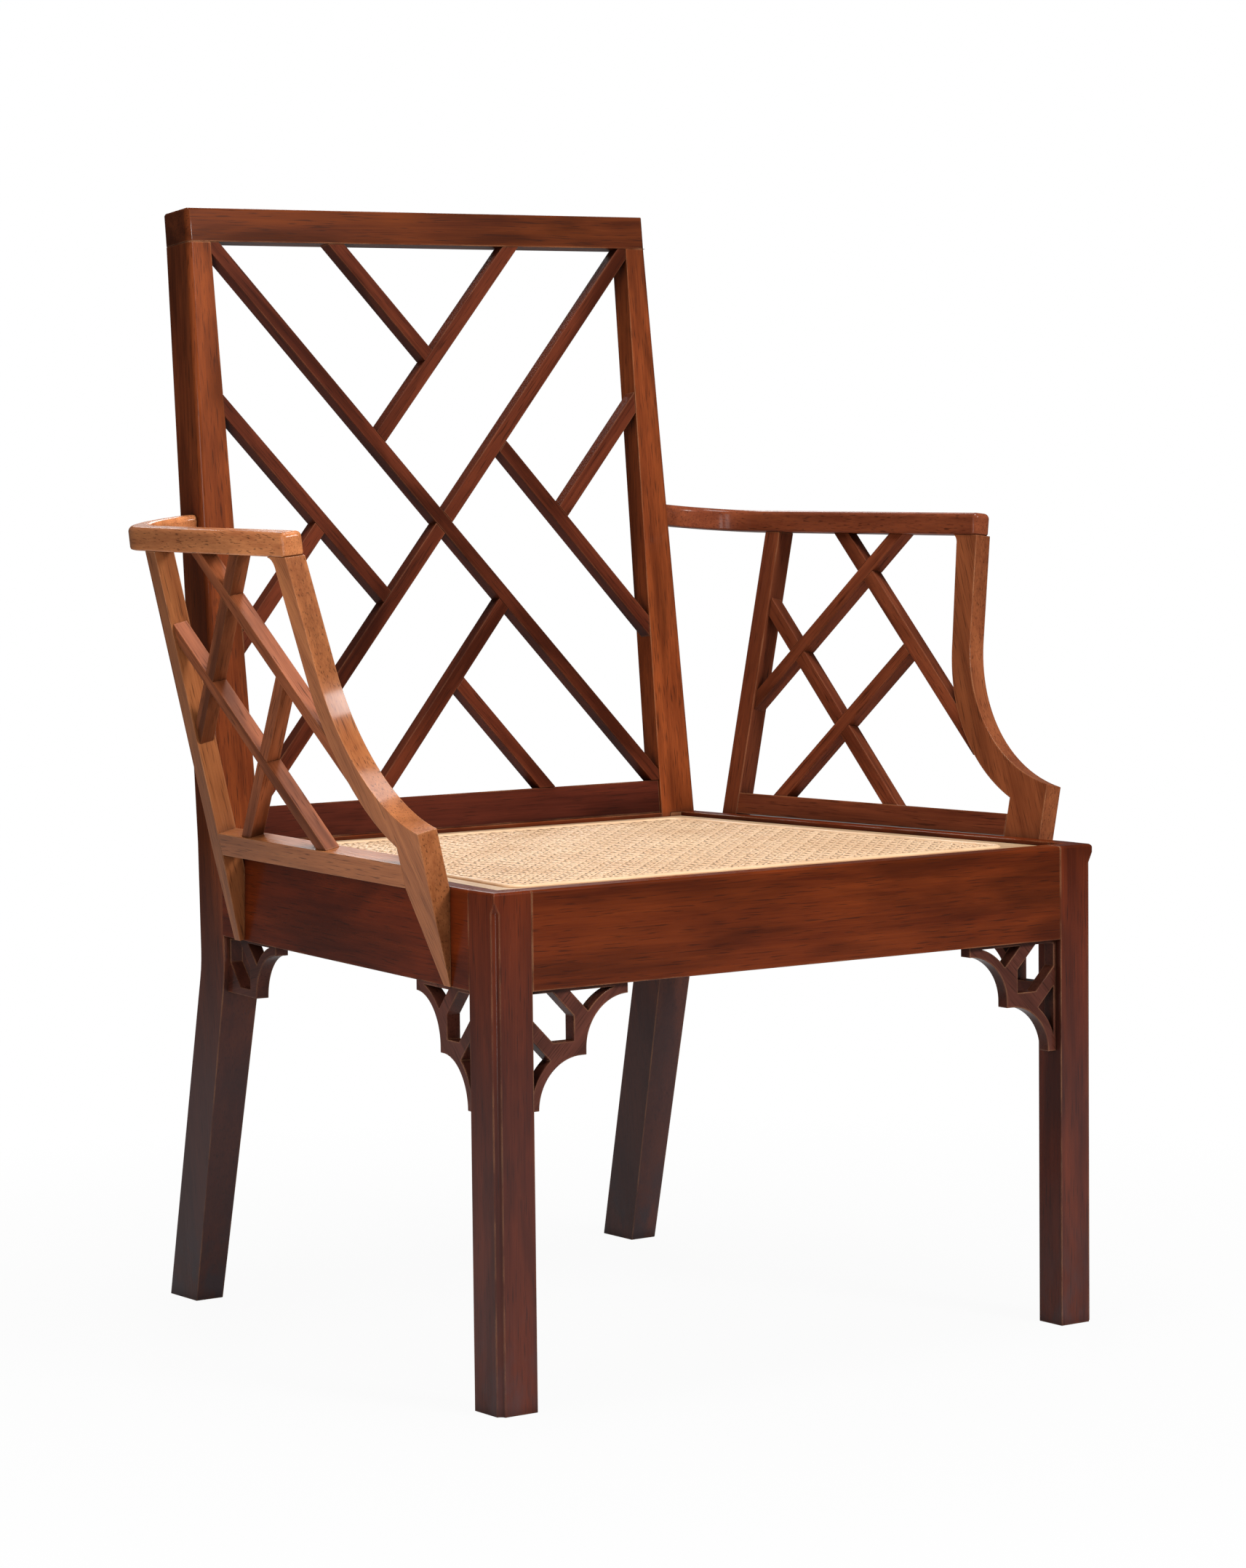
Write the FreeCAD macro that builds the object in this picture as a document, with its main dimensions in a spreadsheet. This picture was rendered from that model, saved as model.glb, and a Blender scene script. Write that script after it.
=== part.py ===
import FreeCAD, Part
import math
import os
from types import SimpleNamespace

import Sketcher
from FreeCAD import Placement, Rotation, Vector

# Cockpen armchair in millimetres: +Z up, front towards -Y, +X to the sitter's left,
# origin on the floor under the middle of the chair.

SIZES = (
    # Whole chair
    ("overall_height", 970),
    ("seat_height", 414),
    ("seat_depth", 500),
    ("front_width", 618.5),
    # Seat rails and their joints
    ("rail_height", 80),
    ("rail_thickness", 30),
    ("rear_rail_thickness", 40),
    ("rear_ledge", 12),
    ("tenon_length", 16),
    ("tenon_thickness", 8),
    ("tenon_inset", 10),
    ("joint_clearance", 0.1),
    ("rail_round", 3),
    # Front legs
    ("leg_size", 36),
    ("leg_chamfer", 7),
    ("hollow_radius", 4.7),
    ("hollow_stop", 16.5),
    ("hollow_point", 9.5),
    # Rear uprights
    ("upright_gap", 437),
    ("upright_width", 40),
    ("upright_top_gap", 449),
    ("upright_top_width", 23),
    ("upright_foot_gap", 452),
    ("upright_foot_width", 27),
    ("stile_round", 6),
    ("square_depth", 22),
    ("upright_depth", 40),
    ("upright_top_depth", 38),
    ("foot_depth", 46),
    ("back_rake", 60),
    ("leg_rake", 66),
    ("knee_height", 318),
    ("knee_radius", 150),
    # Back rails and back lattice
    ("crest_height", 30),
    ("crest_tenon", 18),
    ("crest_round", 3),
    ("lower_rail_height", 31),
    ("lower_rail_depth", 24),
    ("lower_rail_setback", 2),
    ("bar_width", 13),
    ("bar_shoulder", 3),
    ("bar_reach", 9),
    ("back_bar_depth", 14),
    ("back_bar_setback", 0.5),
    ("motif_half_width", 92),
    # Arms
    ("arm_lean", 12.6),
    ("arm_rise", 268),
    ("arm_toe", 0.5),
    ("arm_stock", 18),
    ("arm_rail_height", 19.5),
    ("armrest_height", 20),
    ("armrest_width", 20),
    ("armrest_round", 5),
    ("armrest_tilt", 6),
    ("armrest_bend", 70),
    ("armrest_landing", 20),
    ("arm_tenon", 10),
    ("arm_bar_depth", 13),
    ("rear_post_share", 0.905),
    ("rear_post_width", 19),
    ("post_top_share", 0.396),
    ("post_top_width", 22),
    ("post_bend_share", 0.37),
    ("post_bend_height", 172),
    ("post_sweep_share", 0.29),
    ("post_sweep_height", 90),
    ("post_tip_share", 0.133),
    ("post_tip_height", 48),
    ("post_width", 27),
    ("post_foot_length", 42),
    ("post_flare", 10),
    ("tail_drop", 76),
    ("tail_width", 11),
    ("diamond_share", 0.668),
    ("diamond_height", 161),
    ("diamond_half", 71.5),
    ("forward_fall", 42),
    ("backward_fall", 46.5),
    # Screws through the side rails into the arm tails
    ("screw_radius", 2.2),
    ("screw_head_radius", 4.5),
    ("screw_head_height", 3),
    ("screw_bite", 6),
    ("screw_drop", 36),
    # Pierced brackets
    ("bracket_length", 96),
    ("bracket_thickness", 12),
    ("bracket_recess", 6),
    ("side_bracket_recess", 2),
    ("bracket_edge", 9),
    ("bracket_hollow", 41),
    ("bracket_rim", 8),
    ("bracket_strip", 3),
    ("bracket_slot", 20),
    ("bracket_bar", 17),
    ("bracket_slot_end", 43),
    # Corner blocks
    ("block_height", 46),
    ("block_drop", 22),
    ("front_block", 44),
    ("rear_block", 26),
    # Drop-in seat
    ("seat_lip", 18),
    ("seat_rebate", 18),
    ("seat_gap", 1),
    ("seat_lift_gap", 0.3),
    ("seat_frame_width", 46),
    ("seat_frame_thickness", 14),
    ("seat_tenon_width", 22),
    ("seat_tenon_thickness", 5),
    ("cane_lap", 16),
    ("cane_thickness", 1.5),
    ("cane_columns", 6),
    ("cane_rows", 5),
    ("cane_slat", 14),
    ("binding_width", 7),
    ("binding_thickness", 2.5),
)

doc = FreeCAD.newDocument("CockpenArmchair")
sheet = doc.addObject("Spreadsheet::Sheet", "Dims")
for row, (alias, number) in enumerate(SIZES, start=1):
    sheet.set(f"A{row}", alias)
    sheet.set(f"B{row}", str(number))
    sheet.setAlias(f"B{row}", alias)
doc.recompute()
dim = SimpleNamespace(**{alias: float(sheet.get(alias)) for alias, number in SIZES})
nodes = []

# Places worked out from the driving sizes
clear = dim.joint_clearance
front_y = -(dim.seat_depth + dim.leg_rake + dim.foot_depth) / 2
back_y = front_y + dim.seat_depth
leg_back_y = front_y + dim.leg_size
half_front = dim.front_width / 2
half_gap = dim.upright_gap / 2
half_top_gap = dim.upright_top_gap / 2
half_foot_gap = dim.upright_foot_gap / 2
half_back = half_gap + dim.upright_width
half_crest = half_top_gap + dim.upright_top_width
leg_inner_x = half_front - dim.leg_size
rail_bottom = dim.seat_height - dim.rail_height
ledge = dim.seat_height - dim.seat_rebate
splay = (half_front - half_back) / (dim.seat_depth - dim.leg_size)
splay_angle = math.atan(splay)
slant = math.hypot(1, splay)
far = dim.overall_height
rear_post_setback = dim.rear_post_share * dim.seat_depth
post_top_setback = dim.post_top_share * dim.seat_depth
post_bend_setback = dim.post_bend_share * dim.seat_depth
post_sweep_setback = dim.post_sweep_share * dim.seat_depth
post_tip_setback = dim.post_tip_share * dim.seat_depth
diamond_setback = dim.diamond_share * dim.seat_depth


# Document helpers

def at(x, y, z):
    """Unturned placement at a point."""
    return Placement(Vector(x, y, z), Rotation())


def axes(origin, x_axis, y_axis, z_axis):
    """Placement whose local axes point along three given directions."""
    return Placement(origin, Rotation(x_axis, y_axis, z_axis, "XYZ"))


def set_sizes(obj, **sizes):
    """Bind properties to sheet expressions, or set them to worked-out numbers."""
    for name, value in sizes.items():
        if isinstance(value, str):
            obj.setExpression(name, value)
        else:
            setattr(obj, name, value)


def box(name, length, width, height, placement):
    """Rectangular block."""
    obj = doc.addObject("Part::Box", name)
    set_sizes(obj, Length=length, Width=width, Height=height)
    obj.Placement = placement
    return obj


def cylinder(name, radius, height, placement):
    """Round rod along the local Z axis of its placement."""
    obj = doc.addObject("Part::Cylinder", name)
    set_sizes(obj, Radius=radius, Height=height)
    obj.Placement = placement
    return obj


def cone(name, radius, height, placement):
    """Cone that runs from a radius to a point along the local Z axis of its placement."""
    obj = doc.addObject("Part::Cone", name)
    set_sizes(obj, Radius1=radius, Radius2=0.0, Height=height)
    obj.Placement = placement
    return obj


def rounded(name, base, radius, wanted):
    """Solid with the edges that the test picks rounded."""
    doc.recompute()
    obj = doc.addObject("Part::Fillet", name)
    obj.Base = base
    obj.Edges = [(n, radius, radius) for n, edge in enumerate(base.Shape.Edges, start=1) if wanted(edge)]
    return obj


def tapered_block(name, front, back, start, end, low, high, placement=Placement()):
    """Block from start to end along Y whose X limits change from front to back."""
    obj = doc.addObject("Part::Wedge", name)
    set_sizes(obj, Ymin=start, Ymax=end, Zmin=low, Zmax=high, Z2min=low, Z2max=high)
    set_sizes(obj, Xmin=front[0], Xmax=front[1], X2min=back[0], X2max=back[1])
    obj.Placement = placement
    return obj


def cut(name, base, *tools):
    """Base with every tool removed."""
    for index, tool in enumerate(tools):
        obj = doc.addObject("Part::Cut", f"{name}_less{index}")
        obj.Base = base
        obj.Tool = tool
        base = obj
    return base


def fuse(name, *pieces):
    """One solid from several."""
    obj = doc.addObject("Part::MultiFuse", name)
    obj.Shapes = list(pieces)
    obj.Refine = True
    return obj


def common(name, first, second):
    """What two solids share."""
    obj = doc.addObject("Part::Common", name)
    obj.Base = first
    obj.Tool = second
    return obj


def group(name, *pieces):
    """Several separate solids in one object."""
    obj = doc.addObject("Part::Compound", name)
    obj.Links = list(pieces)
    return obj


def mirrored(name, source):
    """Mirror image across the middle plane of the chair."""
    obj = doc.addObject("Part::Mirroring", name)
    obj.Source = source
    obj.Normal = Vector(1, 0, 0)
    return obj


def keep(label, obj):
    """Name a finished sub-part."""
    obj.Label = label
    nodes.append(obj)
    return obj


def keep_pair(label, left):
    """A sub-part on the sitter's left and its mirror image on the right."""
    keep(f"{label}_left", left)
    return keep(f"{label}_right", mirrored(f"{label}_mirror", left))


# Sketch helpers

def new_body(name, placement):
    """Body placed in the chair's frame."""
    body = doc.addObject("PartDesign::Body", name)
    body.Placement = placement
    return body


def new_sketch(body, name, role):
    """Sketch on one of the body's own origin planes."""
    sketch = body.newObject("Sketcher::SketchObject", name)
    plane = [item for item in body.Origin.OriginFeatures if item.Role == role][0]
    sketch.AttachmentSupport = [(plane, "")]
    sketch.MapMode = "FlatFace"
    return sketch


def point_on(sketch, spot):
    """Curve number and end of a sketch curve that lies at a spot."""
    for curve in range(sketch.GeometryCount):
        for end in (1, 2):
            if (sketch.getPoint(curve, end) - Vector(*spot, 0)).Length < 0.001:
                return curve, end
    raise ValueError(f"{sketch.Name} has no point at {spot}")


def draw(sketch, steps):
    """Closed outline: a step is a point for a line, or a middle point and an end point for an arc."""
    first = sketch.GeometryCount
    here = steps[0]
    for step in steps[1:] + [steps[0]]:
        if isinstance(step[0], tuple):
            middle, there = step
            sketch.addGeometry(Part.Arc(Vector(*here, 0), Vector(*middle, 0), Vector(*there, 0)), False)
        else:
            there = step
            sketch.addGeometry(Part.LineSegment(Vector(*here, 0), Vector(*there, 0)), False)
        here = there
    last = sketch.GeometryCount - 1
    for curve in range(first, last + 1):
        following = first if curve == last else curve + 1
        for end in (1, 2):
            for other in (1, 2):
                gap = sketch.getPoint(curve, end) - sketch.getPoint(following, other)
                if gap.Length < 0.001:
                    sketch.addConstraint(Sketcher.Constraint("Coincident", curve, end, following, other))


def measure(sketch, name, kind, start, end, expression):
    """Named distance between two outline points, bound to the sheet."""
    number = sketch.addConstraint(Sketcher.Constraint(kind, *point_on(sketch, start), *point_on(sketch, end),
                                                      abs(end[0] - start[0]) if kind == "DistanceX"
                                                      else abs(end[1] - start[1])))
    sketch.renameConstraint(number, name)
    sketch.setExpression(f"Constraints.{name}", expression)


def pad(body, sketch, length):
    """Pad a sketch along its normal."""
    feature = body.newObject("PartDesign::Pad", f"{sketch.Name}_pad")
    feature.Profile = sketch
    set_sizes(feature, Length=length)
    return feature


def round_edges(body, feature, radius, wanted):
    """Round the edges of a body's feature that the test picks."""
    doc.recompute()
    names = [f"Edge{n}" for n, edge in enumerate(feature.Shape.Edges, start=1) if wanted(edge)]
    fillet = body.newObject("PartDesign::Fillet", f"{feature.Name}_round")
    fillet.Base = (feature, names)
    set_sizes(fillet, Radius=radius)
    return fillet


def arc_middle(centre, radius, start, end):
    """Point halfway along the shorter arc between two points about a centre."""
    out_x = (start[0] + end[0]) / 2 - centre[0]
    out_y = (start[1] + end[1]) / 2 - centre[1]
    scale = radius / math.hypot(out_x, out_y)
    return centre[0] + out_x * scale, centre[1] + out_y * scale


def crossing(first, second):
    """Point where two lines cross, each given by two points."""
    (ax, ay), (bx, by) = first
    (cx, cy), (dx, dy) = second
    turn = (bx - ax) * (dy - cy) - (by - ay) * (dx - cx)
    share = ((cx - ax) * (dy - cy) - (cy - ay) * (dx - cx)) / turn
    return ax + (bx - ax) * share, ay + (by - ay) * share


def circle_through(first, second, third):
    """Centre and radius of the circle through three points."""
    circle = Part.Circle(Vector(*first, 0), Vector(*second, 0), Vector(*third, 0))
    return (circle.Center.x, circle.Center.y), circle.Radius


# Seat well: the space that the drop-in seat fills, which cuts the rebate

def side_x(y, inset):
    """X of a line parallel to the side rail's outer face, a given distance inside it."""
    return half_front - (y - leg_back_y) * splay - inset * slant


def seat_plan(name, inset, low, high):
    """Block with the plan of the seat, drawn in from the well by an inset."""
    start = front_y + dim.seat_lip + inset
    end = back_y - dim.seat_lift_gap - inset
    front = side_x(start, dim.seat_lip + inset)
    back = side_x(end, dim.seat_lip + inset)
    return tapered_block(name, (-front, front), (-back, back), start, end, low, high)


seat_well = seat_plan("seat_well", 0.0, "Dims.seat_height - Dims.seat_rebate", "2 * Dims.seat_height")

# Rail tenons and the mortises cut for them

tenon_tall = "Dims.rail_height - Dims.seat_rebate - 2 * Dims.tenon_inset"
tenon_low = rail_bottom + dim.tenon_inset
mortise_thick = "Dims.tenon_thickness + 2 * Dims.joint_clearance"
mortise_tall = f"{tenon_tall} + 2 * Dims.joint_clearance"


def cross_tenon(name, half_length, y, grow):
    """Tenons at both ends of a rail that runs across the chair, as one long core."""
    thick = mortise_thick if grow else "Dims.tenon_thickness"
    tall = mortise_tall if grow else tenon_tall
    reach = half_length + dim.tenon_length + grow
    return box(name, 2 * reach, thick, tall, at(-reach, y - grow, tenon_low - grow))


def side_tenon(name, outer_x, start, end, grow):
    """Tenon at one end of a side rail, square to the leg that it enters."""
    thick = mortise_thick if grow else "Dims.tenon_thickness"
    tall = mortise_tall if grow else tenon_tall
    x = outer_x - dim.tenon_inset - dim.tenon_thickness
    return box(name, thick, end - start, tall, at(x - grow, start, tenon_low - grow))


front_tenon_y = front_y + dim.tenon_inset
rear_tenon_y = back_y + (dim.upright_depth - dim.tenon_thickness) / 2
front_tenon = cross_tenon("front_tenon", leg_inner_x, front_tenon_y, 0)
front_mortise = cross_tenon("front_mortise", leg_inner_x, front_tenon_y, clear)
rear_tenon = cross_tenon("rear_tenon", half_gap, rear_tenon_y, 0)
rear_mortise = cross_tenon("rear_mortise", half_gap, rear_tenon_y, clear)
leg_tenon_start = leg_back_y - dim.tenon_length
leg_tenon_end = leg_back_y + dim.tenon_length
upright_tenon_end = back_y + dim.tenon_length
leg_tenon = side_tenon("leg_tenon", half_front, leg_tenon_start, leg_tenon_end, 0)
leg_mortise = side_tenon("leg_mortise", half_front, leg_tenon_start - clear, leg_tenon_end, clear)
upright_tenon_start = back_y - dim.tenon_length
upright_tenon = side_tenon("upright_tenon", half_back, upright_tenon_start, upright_tenon_end, 0)
upright_mortise = side_tenon("upright_mortise", half_back, upright_tenon_start,
                             upright_tenon_end + clear, clear)

# Front legs: square posts with a stopped hollow down the outer corner and a chamfered inner one


def front_leg_blank():
    """Leg with its hollow, before the mortises."""
    body = new_body("front_leg_body", at(half_front, front_y, 0))
    section = new_sketch(body, "leg_section", "XY_Plane")
    size = dim.leg_size
    bevel = dim.leg_chamfer
    draw(section, [(0, 0), (0, size), (bevel - size, size), (-size, size - bevel), (-size, 0)])
    measure(section, "across", "DistanceX", (-size, 0), (0, 0), "Dims.leg_size")
    measure(section, "along", "DistanceY", (0, 0), (0, size), "Dims.leg_size")
    feature = pad(body, section, "Dims.seat_height")

    def outer_top(edge):
        points = [vertex.Point for vertex in edge.Vertexes]
        level = all(abs(point.z - dim.seat_height) < 0.01 for point in points)
        return level and (max(abs(point.x) for point in points) < 0.01
                          or max(abs(point.y) for point in points) < 0.01)

    round_edges(body, feature, "Dims.rail_round", outer_top)
    stop = dim.seat_height - dim.hollow_stop
    hollow = cylinder("leg_hollow", "Dims.hollow_radius", "Dims.seat_height - Dims.hollow_stop",
                      at(half_front, front_y, 0))
    point = cone("leg_hollow_point", "Dims.hollow_radius", "Dims.hollow_point", at(half_front, front_y, stop))
    return cut("leg_hollowed", body, hollow, point)


leg_blank = front_leg_blank()

# Rear uprights: back leg and stile in one piece, sawn to a side and a front template

rise = dim.overall_height - dim.seat_height
back_length = math.hypot(rise, dim.back_rake)
rake_angle = math.atan2(dim.back_rake, rise)
up_back = Vector(0, math.sin(rake_angle), math.cos(rake_angle))
out_back = Vector(0, -math.cos(rake_angle), math.sin(rake_angle))
back_frame = axes(Vector(0, back_y, dim.seat_height), Vector(1, 0, 0), up_back, out_back)
crest_low = back_length - dim.crest_height
stile_top = dim.seat_height + crest_low * math.cos(rake_angle)
upright = Placement(Vector(), Rotation(Vector(1, 0, 0), 90))


def gap_at(height):
    """Half the width of the back's opening at a height up the back."""
    return half_gap + (half_top_gap - half_gap) * height / crest_low


def knee(upper_y, foot_y, radius):
    """Arc from an upright face at knee height to the straight line that runs down to the foot."""
    spread = radius - (foot_y - upper_y)
    turn = math.atan2(dim.knee_height, spread) - math.acos(radius / math.hypot(spread, dim.knee_height))
    low = (upper_y + radius * (1 - math.cos(turn)), dim.knee_height - radius * math.sin(turn))
    middle = (upper_y + radius * (1 - math.cos(turn / 2)), dim.knee_height - radius * math.sin(turn / 2))
    return middle, low


def upright_blank():
    """Upright on the sitter's left, before the joints."""
    body = new_body("upright_body", at(half_gap, 0, 0))
    side = new_sketch(body, "upright_side", "YZ_Plane")
    rear_y = back_y + dim.upright_depth
    foot_front = (back_y + dim.leg_rake, 0)
    foot_back = (foot_front[0] + dim.foot_depth, 0)
    front_middle, front_low = knee(back_y, foot_front[0], dim.knee_radius)
    rear_middle, rear_low = knee(rear_y, foot_back[0], dim.knee_radius - dim.upright_depth)
    top_front = back_frame * Vector(0, crest_low, 0)
    top_back = back_frame * Vector(0, crest_low, -dim.upright_top_depth)
    draw(side, [foot_front, foot_back, rear_low, (rear_middle, (rear_y, dim.knee_height)),
                (rear_y, dim.seat_height), (top_back.y, top_back.z), (top_front.y, top_front.z),
                (back_y, dim.seat_height), (back_y, dim.knee_height), (front_middle, front_low)])
    measure(side, "foot", "DistanceX", foot_front, foot_back, "Dims.foot_depth")
    seat_front = (back_y, dim.seat_height)
    seat_back = (rear_y, dim.seat_height)
    measure(side, "depth", "DistanceX", seat_front, seat_back, "Dims.upright_depth")
    pad(body, side, "Dims.upright_width")
    seat_limits = (half_gap, half_back)
    foot_limits = (half_foot_gap, half_foot_gap + dim.upright_foot_width)
    top_limits = (half_top_gap, half_crest)
    lower = tapered_block("upright_lower_front", foot_limits, seat_limits,
                          0.0, "Dims.seat_height", -far, far, upright)
    upper = tapered_block("upright_upper_front", seat_limits, top_limits,
                          "Dims.seat_height", stile_top, -far, far, upright)
    return common("upright_sawn", body, fuse("upright_front", lower, upper))


upright_sawn = upright_blank()


def stile_bevel():
    """Tool that bevels the inner back edge of the left stile."""
    run = Vector(half_top_gap - half_gap, crest_low, 0)
    slope = Vector(1, 0, -1)
    start = Vector(half_gap, 0, -dim.square_depth) - slope * clear
    place = axes(start, run, slope, run.cross(slope))
    return box("stile_bevel", 2 * back_length, far, "Dims.upright_depth", back_frame * place)


def outer_rounding(name, low, high):
    """Tool that rounds an outer front edge between two points of the back, set a hair proud of both faces."""
    rearward = Vector(0, 0, -1)
    outward_proud = Vector(clear, 0, clear)
    place = axes(low + outward_proud, rearward, (high - low).cross(rearward), high - low)
    body = new_body(f"{name}_body", back_frame * place)
    corner = new_sketch(body, f"{name}_corner", "XY_Plane")
    size = dim.stile_round
    swing = arc_middle((size, size), size, (size, 0), (0, size))
    draw(corner, [(-size, -size), (size, -size), (size, 0), (swing, (0, size)), (-size, size)])
    measure(corner, "arc", "DistanceX", (0, size), (size, 0), "Dims.stile_round")
    pad(body, corner, (high - low).Length)
    return body


bevel = stile_bevel()
stile_end = Vector(half_crest, crest_low, 0)
stile_rounding = outer_rounding("stile_rounding", Vector(half_back, 0, 0), stile_end)
crest_rounding = outer_rounding("crest_rounding", stile_end, stile_end + Vector(0, dim.crest_height, 0))


def crest_joint(name, grow):
    """Tenon on top of the left stile, or the mortise for it in the crest rail."""
    length = dim.upright_top_width - 2 * dim.tenon_thickness
    depth = dim.upright_top_depth - 2 * dim.tenon_inset
    x = half_top_gap + dim.tenon_thickness
    placement = back_frame * at(x - grow, crest_low - dim.crest_tenon, -dim.tenon_inset - depth - grow)
    return box(name, length + 2 * grow, 2 * dim.crest_tenon + grow, depth + 2 * grow, placement)


# Back lattice bars: a blank, a thinner core that makes the tenons, and the tools that fit other pieces to it

def lattice_bar(name, axis, start, end, depth, low, start_trim=0.0, end_trim=0.0):
    """Bar along an axis from start to end; low is the local height of its lower face."""
    thick = getattr(dim, depth)
    inset = dim.bar_shoulder
    half = dim.bar_width / 2
    core_width = "Dims.bar_width - 2 * Dims.bar_shoulder"
    core_depth = f"Dims.{depth} - 2 * Dims.bar_shoulder"
    grown = " + 2 * Dims.joint_clearance"
    lap = thick / 2 + clear / 2
    core_start = start + start_trim
    core_end = end - end_trim
    return SimpleNamespace(
        name=name,
        blank=box(f"{name}_blank", end - start, "Dims.bar_width", f"Dims.{depth}",
                  axis * at(start, -half, low)),
        core=box(f"{name}_core", core_end - core_start, core_width, core_depth,
                 axis * at(core_start, inset - half, low + inset)),
        mortise=box(f"{name}_mortise", core_end - core_start + 2 * clear, core_width + grown,
                    core_depth + grown,
                    axis * at(core_start - clear, inset - half - clear, low + inset - clear)),
        low_lap=box(f"{name}_low_lap", end - start, f"Dims.bar_width{grown}", lap + inset,
                    axis * at(start, -half - clear, low - inset)),
        high_lap=box(f"{name}_high_lap", end - start, f"Dims.bar_width{grown}", lap + inset,
                     axis * at(start, -half - clear, low + thick - lap)))


def along(frame, start, end):
    """Axis frame in a panel, from one point towards another, and the distance between them."""
    run = math.hypot(end[0] - start[0], end[1] - start[1])
    turn = math.degrees(math.atan2(end[1] - start[1], end[0] - start[0]))
    return frame * Placement(Vector(start[0], start[1], 0), Rotation(Vector(0, 0, 1), turn)), run


open_low = dim.lower_rail_height
half_high = (crest_low - open_low) / 2
middle = (crest_low + open_low) / 2
bar_low = -dim.back_bar_setback - dim.back_bar_depth
spread_share = dim.motif_half_width / half_gap
between_stiles = tapered_block("between_stiles", (-half_gap, half_gap), (-half_top_gap, half_top_gap),
                               "Dims.seat_height", stile_top, -far, far, upright)
between_rails = box("between_rails", 2 * far, 2 * half_high, 2 * far, back_frame * at(-far, open_low, -far))
opening = common("back_opening", between_stiles, between_rails)


def back_bar(name, start, end, joined=None):
    """Bar between two points given as shares of the half opening; it may end on another bar."""
    first, second = [(x * gap_at(middle + y * half_high), middle + y * half_high) for x, y in (start, end)]
    if joined is not None:
        second = crossing((first, second), joined.line)
    axis, run = along(back_frame, first, second)
    if joined is None:
        bar = lattice_bar(name, axis, -dim.bar_reach, run + dim.bar_reach, "back_bar_depth", bar_low)
        shaped = common(f"{name}_trimmed", bar.blank, opening)
    else:
        bar = lattice_bar(name, axis, -dim.bar_reach, run, "back_bar_depth", bar_low,
                          end_trim=dim.bar_shoulder)
        shaped = cut(f"{name}_scribed", common(f"{name}_trimmed", bar.blank, opening), joined.blank)
    bar.solid = fuse(f"{name}_tenoned", shaped, bar.core)
    bar.line = (first, second)
    return bar


near_share = 1 - spread_share
mid_share = near_share / 2
fall = back_bar("back_fall", (-1, 1), (1, -1))
climb = back_bar("back_climb", (1, 1), (-1, -1))
top_long = back_bar("back_top_long", (spread_share, 1), (-mid_share, mid_share), fall)
top_short = back_bar("back_top_short", (-spread_share, 1), (0, near_share), top_long)
left_long = back_bar("back_left_long", (1, -spread_share), (mid_share, mid_share), climb)
left_short = back_bar("back_left_short", (1, spread_share), (near_share, 0), left_long)
right_long = back_bar("back_right_long", (-1, spread_share), (-mid_share, -mid_share), climb)
right_short = back_bar("back_right_short", (-1, -spread_share), (-near_share, 0), right_long)
bottom_long = back_bar("back_bottom_long", (-spread_share, -1), (mid_share, -mid_share), fall)
bottom_short = back_bar("back_bottom_short", (spread_share, -1), (0, -near_share), bottom_long)

keep("back_diagonal_fall", cut("fall_lapped", fall.solid, climb.low_lap, top_long.mortise,
                               bottom_long.mortise))
keep("back_diagonal_climb", cut("climb_lapped", climb.solid, fall.high_lap, left_long.mortise,
                                right_long.mortise))
for long_bar, short_bar in ((top_long, top_short), (left_long, left_short),
                            (right_long, right_short), (bottom_long, bottom_short)):
    keep(long_bar.name, cut(f"{long_bar.name}_housed", long_bar.solid, short_bar.mortise))
    keep(short_bar.name, short_bar.solid)

# Crest rail over the stile tops, and the lower back rail on the rear seat rail


def crest_blank():
    """Crest rail with rounded upper edges, before the mortises."""
    body = new_body("crest_body", back_frame * at(-half_crest, crest_low, -dim.upright_top_depth))
    face = new_sketch(body, "crest_section", "YZ_Plane")
    high = dim.crest_height
    deep = dim.upright_top_depth
    draw(face, [(0, 0), (high, 0), (high, deep), (0, deep)])
    measure(face, "tall", "DistanceX", (0, 0), (high, 0), "Dims.crest_height")
    measure(face, "deep", "DistanceY", (high, 0), (high, deep), "Dims.upright_top_depth")
    feature = pad(body, face, 2 * half_crest)

    def upper(edge):
        return all(abs(vertex.Point.y - high) < 0.01 for vertex in edge.Vertexes)

    round_edges(body, feature, "Dims.crest_round", upper)
    return body


def crest_bevel():
    """Tool that bevels the lower back edge of the crest rail and meets the stiles' bevels in mitres."""
    grow = dim.upright_depth - dim.square_depth
    obj = doc.addObject("Part::Wedge", "crest_bevel")
    set_sizes(obj, Xmin=-half_top_gap, Xmax=half_top_gap, Ymin=0.0, Zmin=-grow, Zmax=0.0)
    set_sizes(obj, X2min=-half_top_gap - grow, X2max=half_top_gap + grow, Ymax=grow, Z2min=-grow, Z2max=grow)
    place = axes(Vector(0, crest_low, -dim.square_depth), Vector(1, 0, 0), Vector(0, 0, -1), Vector(0, 1, 0))
    obj.Placement = back_frame * place
    return obj


def lower_rail_core(name, grow):
    """Tenons of the lower back rail as one long core."""
    reach = half_gap + dim.tenon_length + grow
    tall = dim.lower_rail_height / 2
    depth = dim.tenon_thickness
    centre = -dim.lower_rail_setback - dim.lower_rail_depth / 2
    placement = back_frame * at(-reach, tall / 2 - grow, centre - depth / 2 - grow)
    return box(name, 2 * reach, tall + 2 * grow, depth + 2 * grow, placement)


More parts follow.
